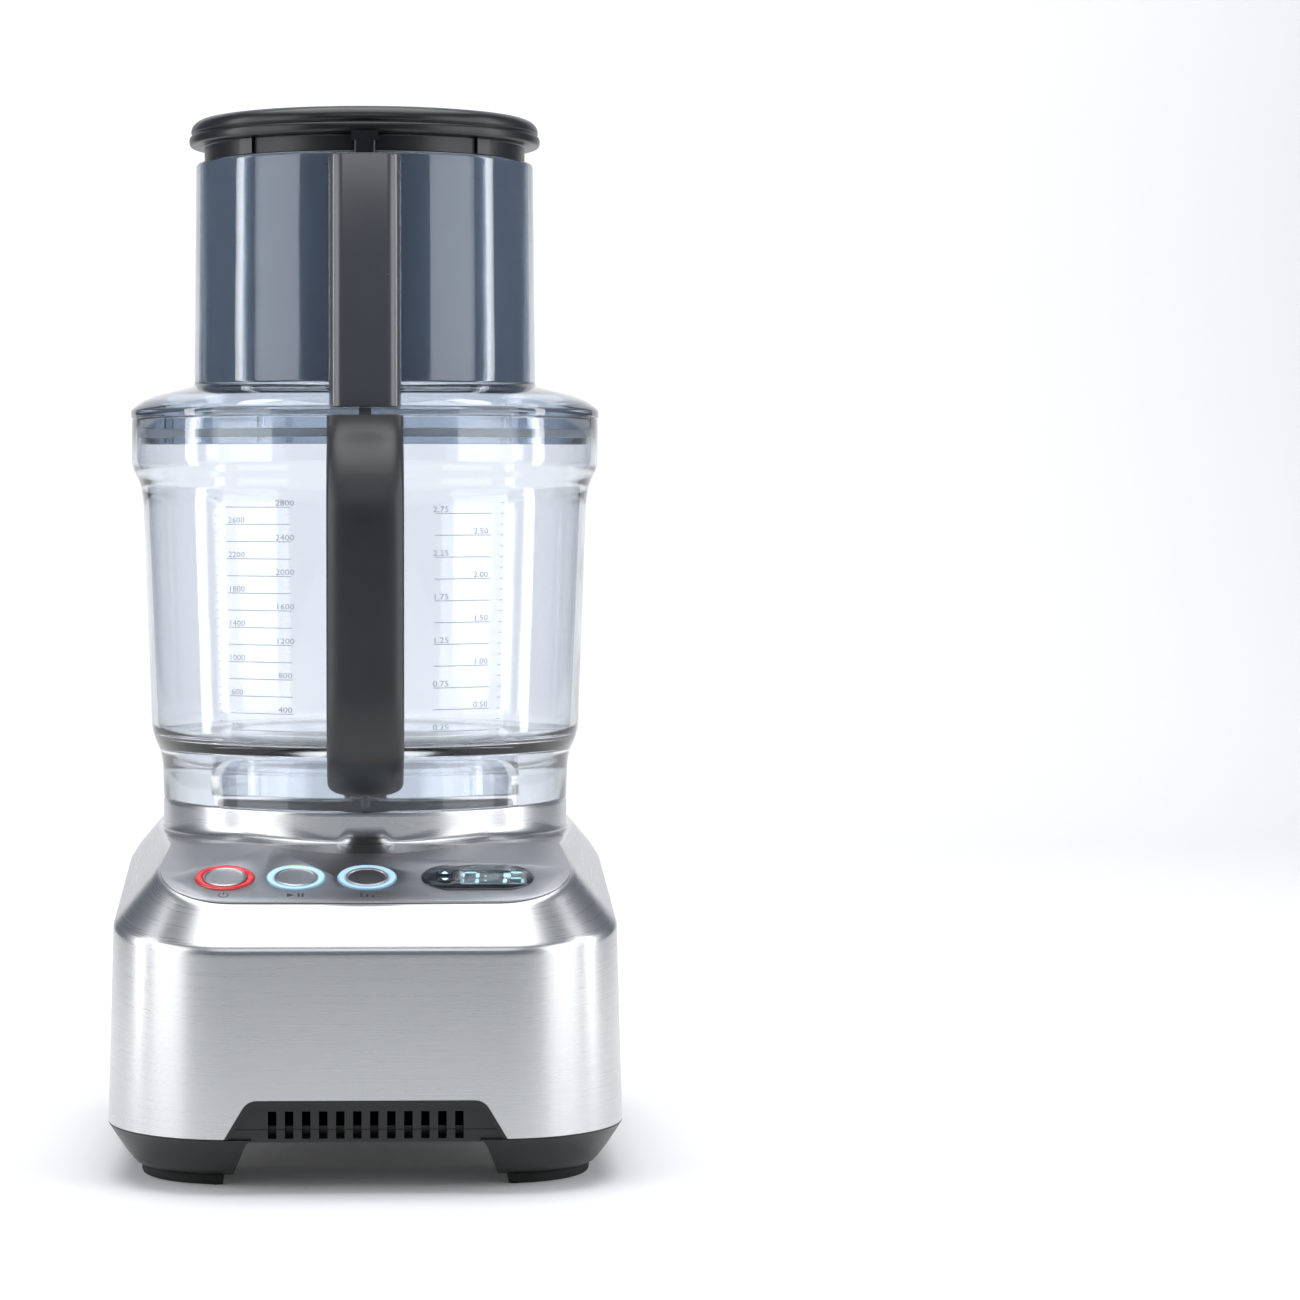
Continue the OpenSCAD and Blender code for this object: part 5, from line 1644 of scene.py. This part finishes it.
class PROCESSOR_OT_bowl(Making):
    """Makes the clear bowl and the scales printed on it"""

    bl_idname = "processor.bowl"
    bl_label = "Bowl and scales"

    def execute(self, context):
        form = VesselForm()
        bowl = spun("clear_bowl", with_ease(form.bowl_outer() + form.bowl_inner()), 180)
        slot = block(
            "rod_slot", (-0.0037, AXIS_Y - 0.0948, BOWL_Z + 0.0122), (0.0037, AXIS_Y - 0.0828, BOWL_Z + 0.0226)
        )
        carved(bowl, cutters=[slot])
        placed(bowl, "Clear Copolyester", "bowl", "clear_copolyester", "bowl")

        size = form.size
        low = form.floor + 0.0025
        lean = 0.0035 / (form.collar - 0.014 - low)
        ticks = wrapped_ticks_tree()
        ink = bpy.data.materials["Scale Ink"]
        pieces = []
        span = form.collar - 0.010 - form.floor
        for angle, pitch, step, unit, width in (
            (-27.8, size.tick_pitch, 200, 0, 0.03), (25.2, size.wide_pitch, 0.25, 2, 0.0255)
        ):
            count = int((span - 0.006) / pitch)
            start = form.floor + 0.0065
            radius = form.foot_r + lean * (start - low) + 0.00008
            side = math.radians(angle) * radius
            pieces.append(
                grown(
                    f"scale_marks_{unit}", ticks, Count=count, Pitch=pitch, Bar=(width, 0.00005, 0.00032),
                    Start=(side, 0.0, start), Radius=radius, Lean=lean, Centre=(0.0, AXIS_Y, 0.0), Material=ink
                )
            )
            pieces.append(
                grown(
                    f"scale_dots_{unit}", ticks, Count=count * 2, Pitch=pitch / 2,
                    Bar=(0.0016, 0.00005, 0.00028),
                    Start=(side * 1.44, 0.0, start), Radius=radius, Lean=lean, Centre=(0.0, AXIS_Y, 0.0),
                    Material=ink,
                )
            )
            for k in range(count):
                value = (k + 1) * step
                text = f"{value:.{unit}f}"
                shift = (-1 if k % 2 == 0 else 1) * (width / 2 - 0.0035)
                pieces.append(
                    wrapped_number(text, side + shift, start + pitch * k + 0.0006, radius + lean * pitch * k)
                )
        placed(joined("bowl_scales", pieces), "Scale Ink", "bowl", "clear_copolyester")
        return {"FINISHED"}


def wrapped_number(text, side, height, radius):
    """A number bent round the bowl's wall."""
    curve = bpy.data.curves.new(f"number_{text}", "FONT")
    curve.body, curve.align_x, curve.resolution_u = text, "CENTER", 2
    curve.size, curve.extrude = 0.0034, 0.00002
    source = linked(curve.name, curve)
    graph = bpy.context.evaluated_depsgraph_get()
    mesh = bpy.data.meshes.new_from_object(source.evaluated_get(graph), depsgraph=graph)
    bpy.data.objects.remove(source)
    for vert in mesh.vertices:
        turn = (vert.co.x * 1.25 + side) / radius
        out = radius + vert.co.z
        vert.co = (out * math.sin(turn), AXIS_Y - out * math.cos(turn), height + vert.co.y)
    return linked(curve.name, mesh)


class GripForm:
    """Side outlines of the handle and of the gap for the fingers, as (reach, height)."""

    def __init__(self):
        size = bpy.context.scene.processor_grip
        self.size = size
        self.low = GRIP[0].z
        self.top = GRIP[1].z
        self.inner = GRIP_REACH - size.depth
        self.gap_low = self.low + 0.026
        self.gap_high = self.top - 0.046

    def side(self, over=0.0):
        reach, top, low = GRIP_REACH, self.top, self.low
        points = [
            (0.065, low, 0), (self.inner - 0.006, low, 0.009), (reach - 0.007, low + 0.014, 0.012),
            (reach - 0.001, low + 0.034, 0.012), (reach, top - 0.052, 0.012),
            (reach - 0.0015, top - 0.032, 0.011),
            (reach - 0.012, top - 0.015, 0.011), (POST_REACH + 0.011, top - 0.005, 0.006),
            (POST_REACH + 0.0055, top + over, 0.0),
            (0.065, top + over, 0),
        ]
        return with_ease(points, 7)

    def gap(self, grow=0.0):
        points = [
            (0.06, self.gap_low, 0), (self.inner - 0.007, self.gap_low, 0.005),
            (self.inner, self.gap_low + 0.009, 0.007),
            (self.inner, self.gap_high - 0.009, 0.007), (self.inner - 0.007, self.gap_high, 0.005),
            (0.06, self.gap_high, 0),
        ]
        return shrunk(with_ease(points, 7), -grow)


class PROCESSOR_OT_handle(Making):
    """Makes the handle's shell and the liner of its finger gap"""

    bl_idname = "processor.handle"
    bl_label = "Handle"

    def execute(self, context):
        form, vessel = GripForm(), VesselForm()
        size = form.size
        shell = side_slab("handle", form.side(0.009), crowned(size.width, size.rounding))
        rod_t = 0.005
        way = rod_t + 0.0014
        rod = 0.0057
        arm_z = BOWL_Z + 0.017
        rod_r = POST_REACH - rod
        inside = side_slab("handle_inside", shrunk(form.side(-0.004), 0.0045), flat_sides(size.width - 0.0062))
        keep_gap = side_slab("keep_gap", form.gap(0.0061), flat_sides(0.04))
        inside = carved(inside, cutters=[keep_gap])
        cutters = [
            inside,
            side_slab("gap", form.gap(0.00305), flat_sides(0.05)),
            block("over_handle", (-0.03, AXIS_Y - 0.16, form.top), (0.03, AXIS_Y, form.top + 0.02)),
            vessel.envelope("bowl_body", vessel.bowl_outer(), BOWL_Z - 0.001, BOWL_TOP + 0.001, CLEARANCE),
            block(
                "rod_way", (-way / 2, AXIS_Y - rod_r - way / 2, form.top - 0.027),
                (way / 2, AXIS_Y - rod_r + way / 2, form.top + 0.01)
            ),
            block(
                "arm_way", (-way / 2, AXIS_Y - vessel.size.foot - 0.008, arm_z - 0.0048),
                (way / 2, AXIS_Y - 0.05, arm_z + rod_t + 0.0008)
            ),
        ]
        liner_y = AXIS_Y - form.inner
        screws = [(x, z) for x in (-0.009, 0.009) for z in (form.gap_low + 0.02, form.gap_high - 0.02)]
        for screw in screws:
            cutters.append(
                prism("bore", ring_of(0.0016, 24, screw), -(liner_y + 0.002), -(liner_y - 0.012), ALONG_Y)
            )
        half, grip, foot = rod_t / 2, form.inner + 0.0075, form.top - 0.022
        rod_line = [
            (rod_r - half, foot), (rod_r + half - 0.001, foot), (grip, form.gap_high + 0.008),
            (grip, arm_z + rod_t + 0.015),
            (form.inner - 0.006, arm_z + rod_t), (0.076, arm_z + rod_t), (0.076, arm_z),
            (form.inner - 0.004, arm_z),
            (grip + rod_t, arm_z + 0.016), (grip + rod_t, form.gap_high + 0.012), (rod_r + half, foot + 0.006),
            (rod_r + half, form.top + 0.01), (rod_r - half, form.top + 0.01),
        ]
        for drop in (0.0, 0.002, 0.004):
            room = [(p[0], p[1] - drop) for p in shrunk(rod_line, -0.0007)]
            cutters.append(side_slab("rod_room", room, flat_sides(way)))
        carved(shell, cutters=cutters, sharp=36.0)
        placed(shell, "Charcoal Grip", "bowl", "grip_moulding", "handle_shell")

        liner = side_slab("liner", form.gap(0.003), flat_sides(size.width - 0.001))
        inner_gap = side_slab(
            "inner_gap", form.gap(0.0),
            [
                (-0.02, -0.003), (-size.width / 2 + 0.0005, -0.0012), (-size.width / 2 + 0.002, 0.0),
                (size.width / 2 - 0.002, 0.0), (size.width / 2 - 0.0005, -0.0012), (0.02, -0.003),
            ],
        )
        cutters = [
            inner_gap,
            vessel.envelope("bowl_side", vessel.bowl_outer(), BOWL_Z - 0.001, BOWL_TOP + 0.001, CLEARANCE)
        ]
        for screw in screws:
            cutters.append(
                prism("head", ring_of(0.0034, 32, screw), -(liner_y + 0.01), -(liner_y - 0.0016), ALONG_Y)
            )
            cutters.append(
                prism("shank", ring_of(0.0018, 24, screw), -(liner_y + 0.01), -(liner_y - 0.01), ALONG_Y)
            )
        inside_handle = side_slab("inside_handle", form.side(0.0), flat_sides(0.05))
        carved(liner, kept=[inside_handle], cutters=cutters, sharp=36.0)
        placed(liner, "Charcoal Grip", "bowl", "grip_moulding", "handle_liner")
        return {"FINISHED"}


class PROCESSOR_OT_lid(Making):
    """Makes the clear lid with its chute, its ribs and its seal"""

    bl_idname = "processor.lid"
    bl_label = "Lid and seal"

    def execute(self, context):
        form = VesselForm()
        size = form.size
        plug = COLLAR_R - size.wall - 0.0016
        chute_in, chute, dome = form.chute_in, form.chute, size.dome
        profile = form.lid_outer() + [
            (size.chute, CHUTE_TOP - 0.0008, 0.0004), (size.chute - 0.0005, CHUTE_TOP, 0.0003),
            (chute_in, CHUTE_TOP, 0.0004), (chute_in, chute - 0.005, 0.0008),
            (size.chute + 0.008, LID_Z + dome * 0.88 - 0.003, 0.002),
            (RIM_R - 0.0114, LID_Z + dome * 0.72 - 0.0028, 0.002), (plug - 0.0022, LID_Z + 0.002, 0.001),
            (plug - 0.0022, LID_Z - 0.012, 0.0005), (plug, LID_Z - 0.012, 0.0005), (plug, LID_Z, 0.0005),
        ]
        lid = spun("clear_lid", with_ease(profile), 180)
        half = bpy.context.scene.processor_grip.post / 2 + 0.0011
        rail_in = math.sqrt((chute_in + 0.0012) ** 2 - (half + 0.001) ** 2)
        rails = [
            block(
                f"rail_{s}", (s * half - 0.001, AXIS_Y - size.chute - 0.012, chute + 0.002),
                (s * half + 0.001, AXIS_Y - rail_in, POST[1].z - 0.002)
            )
            for s in (-1, 1)
        ]
        carved(lid, added=rails)
        ribs = grown(
            "lid_ribs", ring_of_bars_tree(), Count=11, Radius=plug - 0.0036, Bar=(0.0032, 0.0016, 0.0125),
            Centre=(0.0, AXIS_Y, LID_Z - 0.0050), Turn=math.radians(14),
            Material=bpy.data.materials["Clear Copolyester"],
        )
        # The lid gets the darker copy of the copolyester: painted shade for the stacked clear layers.
        placed(lid, "Lid Copolyester", "lid", "clear_copolyester", "lid")
        placed(ribs, "Clear Copolyester", "lid", "clear_copolyester")

        low, high = node_box("lid_seal")
        seal = [
            (plug + 0.00005, low.z, 0.0003), (high.x, low.z, 0.0008), (high.x, high.z, 0.0008),
            (plug + 0.00005, high.z, 0.0003)
        ]
        placed(spun("seal_ring", with_ease(seal), 160), "Silicone", "lid", "silicone", "lid_seal")
        return {"FINISHED"}


class PROCESSOR_OT_post(Making):
    """Makes the dark post in front of the chute"""

    bl_idname = "processor.post"
    bl_label = "Chute post"

    def execute(self, context):
        form, size = VesselForm(), bpy.context.scene.processor_grip
        half, front, back = size.post / 2, AXIS_Y - POST_REACH, AXIS_Y - form.size.chute + 0.005
        face = [
            (-half + 0.0055 + (size.post - 0.011) * k / 6, front + 0.0007 * abs(k / 3 - 1) ** 2)
            for k in range(7)
        ]
        left = corner_curve(
            Vector((-half, front + 0.02)), Vector((-half, front + 0.0008)), Vector(face[3]), 0.009, 12
        )
        right = corner_curve(
            Vector(face[3]), Vector((half, front + 0.0008)), Vector((half, front + 0.02)), 0.009, 12
        )
        outline = [tuple(p) for p in left] + face[3:4] + [tuple(p) for p in right] + [
            (half, back), (-half, back)
        ]
        low, high = POST[0].z, POST[1].z
        levels = (
            (0.0004, low), (0, low + 0.0004), (0, high - 0.0008), (0.0003, high - 0.0002), (0.0008, high)
        )
        post = stacked("post", [[(p[0], p[1], z) for p in shrunk(outline, inset)] for inset, z in levels])
        chute_line = [*form.lid_outer(), (form.size.chute, CHUTE_TOP - 0.0008, 0)]
        tab_r = form.size.chute + TAB_OUT
        cutters = [
            form.envelope("chute_body", chute_line, LID_Z - 0.03, CHUTE_TOP + 0.02, CLEARANCE),
            block(
                "post_inside", (-half + 0.0026, front + 0.0028, low + 0.0024),
                (half - 0.0026, AXIS_Y - form.size.chute - 0.003, high - 0.0026)
            ),
            block(
                "tab_slot", (-0.0049, AXIS_Y - tab_r - 0.0044, high - 0.03),
                (0.0049, AXIS_Y - tab_r + 0.0044, high + 0.03)
            ),
        ]
        carved(post, cutters=cutters)
        placed(post, "Post Moulding", "lid", "post_moulding", "chute_post")
        return {"FINISHED"}


class PROCESSOR_OT_pushers(Making):
    """Makes the large pusher with its cap, and the small pusher inside it"""

    bl_idname = "processor.pushers"
    bl_label = "Pushers"

    def execute(self, context):
        form = VesselForm()
        size = form.size
        r, t, tube = PUSHER[1].x, 0.0022, size.tube
        low, joint = PUSHER[0].z, CHUTE_TOP + 0.0007
        cap_z = CHUTE_TOP + 0.0076
        top = CAP_TOP
        body = [
            (r, low, 0.0012), (r, joint, 0.0003), (r - t, joint, 0.0003), (r - t, low + 0.003, 0.001),
            (tube, low + 0.003, 0.001),
            (tube, top - 0.0065, 0.0003), (tube - 0.002, top - 0.0065, 0.0003), (tube - 0.002, low, 0.0006),
        ]
        placed(
            spun("pusher_wall", with_ease(body), 180), "Smoked Copolyester", "pusher", "smoke_copolyester",
            "pusher_body"
        )

        wide, high = CAP_R, top - cap_z
        recess, inner = tube + 0.0044, tube
        cap = [
            (r, joint + 0.00005, 0.0003), (r, cap_z, 0.0008), (wide - 0.0008, cap_z + 0.0002, 0.0005),
            (wide, cap_z + 0.0012, 0.0012),
            (wide, cap_z + 0.34 * high, 0.0012), (wide - 0.0016, cap_z + 0.42 * high, 0.0006),
            (wide - 0.0006, cap_z + 0.5 * high, 0.0014),
            (wide - 0.0014, cap_z + 0.76 * high, 0.0016), (wide - 0.0042, cap_z + 0.94 * high, 0.002),
            (wide - 0.009, top, 0.003),
            (recess, top, 0.0006), (recess, top - 0.004, 0.0003), (inner - 0.002, top - 0.004, 0.0003),
            (inner - 0.002, top - 0.0064, 0),
            (inner + 0.00005, top - 0.0064, 0), (inner + 0.00005, top - 0.013, 0),
            (inner + 0.003, top - 0.013, 0.0005), (inner + 0.003, top - 0.007, 0),
            (r - t, top - 0.007, 0), (r - t, joint + 0.00005, 0.0003),
        ]
        cap = spun("cap", with_ease(cap), 180)
        tab_r, post_top = size.chute + TAB_OUT, POST[1].z
        tab_z = post_top - 0.0032
        head = eased(
            [
                (-0.0056, cap_z - 0.0039), (0.0056, cap_z - 0.0039), (0.0056, cap_z + 0.0002),
                (-0.0056, cap_z + 0.0002)
            ],
            [0.0009, 0.0009, 0, 0], 3
        )
        arm = prism("tab_arm", head, -(AXIS_Y - r + 0.001), -(AXIS_Y - tab_r - 0.004), ALONG_Y)
        leg_plan = eased(
            [
                (-0.0044, AXIS_Y - tab_r - 0.004), (0.0044, AXIS_Y - tab_r - 0.004),
                (0.0044, AXIS_Y - tab_r + 0.0034), (-0.0044, AXIS_Y - tab_r + 0.0034)
            ],
            0.0012, 4
        )
        leg = prism("tab_leg", leg_plan, tab_z, cap_z - 0.003)
        carved(cap, added=[arm, leg])
        placed(cap, "Satin Black ABS", "pusher", "black_moulding", "pusher_cap")
        ribs = grown(
            "cap_ribs", ring_of_bars_tree(), Count=4, Radius=r + 0.0002,
            Bar=(0.0024, 0.0075, cap_z - joint - 0.0004),
            Centre=(0.0, AXIS_Y, 0.5 * (cap_z + joint)), Turn=math.radians(45),
            Material=bpy.data.materials["Satin Black ABS"],
        )
        placed(ribs, "Satin Black ABS", "pusher", "black_moulding")

        small = tube - 0.0026
        bottom, lid = low + 0.0003, top - 0.004 + 0.00025
        plunger = [
            (0, bottom, 0), (small, bottom, 0.0012), (small, lid, 0.0003), (small - 0.002, lid, 0.0003),
            (small - 0.002, bottom + 0.0025, 0.001), (0, bottom + 0.0025, 0)
        ]
        placed(
            spun("plunger", with_ease(plunger), 128), "Thin Smoked Copolyester", "small_pusher",
            "smoke_copolyester", "small_pusher"
        )
        base = top - 0.0037
        knob = [
            (0, base, 0), (recess - 0.0006, base, 0.0003), (recess - 0.0006, top - 0.0009, 0.0006),
            (recess - 0.0014, top - 0.0001, 0.0006),
            (recess - 0.006, top - 0.0001, 0.001), (recess - 0.009, top - 0.0012, 0.002), (0, top - 0.0017, 0),
        ]
        placed(
            spun("plunger_cap", with_ease(knob), 128), "Satin Black ABS", "small_pusher", "black_moulding",
            "small_pusher_cap"
        )
        return {"FINISHED"}


class PROCESSOR_OT_stage(Making):
    """Makes the pale floor, the backdrop, the soft lights and the camera"""

    bl_idname = "processor.stage"
    bl_label = "Stage, lights and camera"

    def execute(self, context):
        scene = context.scene
        _, shader = surface("Studio White", **{"Roughness": 0.9, "Emission Strength": 0.03})
        shader.inputs["Base Color"].default_value = rgba(linear(0xF4F4F4))
        shader.inputs["Emission Color"].default_value = rgba(linear(0xFFFFFF))
        sweep = [Vector((-2.2, 0.0)), Vector((0.9, 0.0))]
        sweep += corner_curve(Vector((0.9, 0.0)), Vector((1.7, 0.0)), Vector((1.7, 1.2)), 0.6, 16)
        sweep.append(Vector((1.7, 1.75)))
        bm = bmesh.new()
        rows = [[bm.verts.new((x, p.x, p.y)) for p in sweep] for x in (-1.0, 1.1)]
        for j in range(len(sweep) - 1):
            bm.faces.new((rows[0][j], rows[1][j], rows[1][j + 1], rows[0][j + 1]))
        mesh = bpy.data.meshes.new("studio_sweep")
        bm.to_mesh(mesh)
        bm.free()
        for polygon in mesh.polygons:
            polygon.use_smooth = True
        backdrop = bpy.data.objects.new("studio_sweep", mesh)
        backdrop.data.materials.append(bpy.data.materials["Studio White"])
        scene.collection.objects.link(backdrop)

        world = bpy.data.worlds.new("Studio")
        world.use_nodes = True
        world.node_tree.nodes["Background"].inputs["Color"].default_value = rgba(linear(0x8A92A0))
        world.node_tree.nodes["Background"].inputs["Strength"].default_value = 0.55
        scene.world = world
        target = Vector((0.0, 0.0, 0.2))
        for name, place, width, height, power in (
            ("Left Softbox", (-1.3, -0.7, 0.55), 0.9, 1.3, 9.0),
            ("Right Softbox", (1.3, -0.7, 0.55), 0.9, 1.3, 9.0),
            ("Left Strip", (-1.15, 0.05, 0.5), 0.14, 1.2, 4.0),
            ("Right Strip", (1.15, 0.05, 0.5), 0.14, 1.2, 4.0),
            ("Top Softbox", (0.0, -0.1, 1.7), 1.6, 1.2, 19.0),
            ("Front Softbox", (0.0, -1.7, 1.6), 1.6, 0.5, 5.0),
            ("Backdrop Light", (0.0, 0.75, 1.9), 1.6, 0.5, 14.0),
        ):
            lamp = bpy.data.lights.new(name, "AREA")
            lamp.shape, lamp.size, lamp.size_y, lamp.energy = "RECTANGLE", width, height, power
            holder = bpy.data.objects.new(name, lamp)
            holder.location = place
            aim = Vector((0.0, 1.7, 0.5)) if name == "Backdrop Light" else target
            holder.rotation_euler = (aim - Vector(place)).to_track_quat("-Z", "Y").to_euler()
            scene.collection.objects.link(holder)

        view = bpy.data.cameras.new("Product Camera")
        view.lens, view.sensor_width, view.shift_x, view.clip_end = 102.46, 36.0, 0.15, 20.0
        camera = bpy.data.objects.new("Product Camera", view)
        camera.location = (0.0, -1.602, 0.2838)
        camera.rotation_euler = (math.radians(90 - 2.55), 0.0, math.radians(-1.39))
        scene.collection.objects.link(camera)
        scene.camera = camera
        scene.view_settings.view_transform = "Standard"
        return {"FINISHED"}


class PROCESSOR_PT_panel(bpy.types.Panel):
    """Lists the sizes, the colours and the operators"""

    bl_label = "Food Processor"
    bl_idname = "PROCESSOR_PT_panel"
    bl_space_type = "VIEW_3D"
    bl_region_type = "UI"
    bl_category = "Processor"

    def draw(self, context):
        for name, group in GROUPS.items():
            box = self.layout.box()
            box.label(text=group.__doc__)
            for setting in group.__annotations__:
                box.prop(getattr(context.scene, name), setting)
        for operator in OPERATORS:
            self.layout.operator(operator.bl_idname)


OPERATORS = (
    PROCESSOR_OT_finishes,
    PROCESSOR_OT_housing,
    PROCESSOR_OT_undertray,
    PROCESSOR_OT_feet,
    PROCESSOR_OT_gland,
    PROCESSOR_OT_panel,
    PROCESSOR_OT_controls,
    PROCESSOR_OT_drive,
    PROCESSOR_OT_bowl,
    PROCESSOR_OT_handle,
    PROCESSOR_OT_lid,
    PROCESSOR_OT_post,
    PROCESSOR_OT_pushers,
    PROCESSOR_OT_stage,
)


def register():
    for group in (*GROUPS.values(), *OPERATORS, PROCESSOR_PT_panel):
        bpy.utils.register_class(group)
    for name, group in GROUPS.items():
        setattr(bpy.types.Scene, name, PointerProperty(type=group))


def unregister():
    for name in GROUPS:
        delattr(bpy.types.Scene, name)
    for group in (PROCESSOR_PT_panel, *reversed(OPERATORS), *reversed(list(GROUPS.values()))):
        bpy.utils.unregister_class(group)


def main():
    register()
    for operator in OPERATORS:
        space, call = operator.bl_idname.split(".")
        getattr(getattr(bpy.ops, space), call)()


if __name__ == "__main__":
    main()
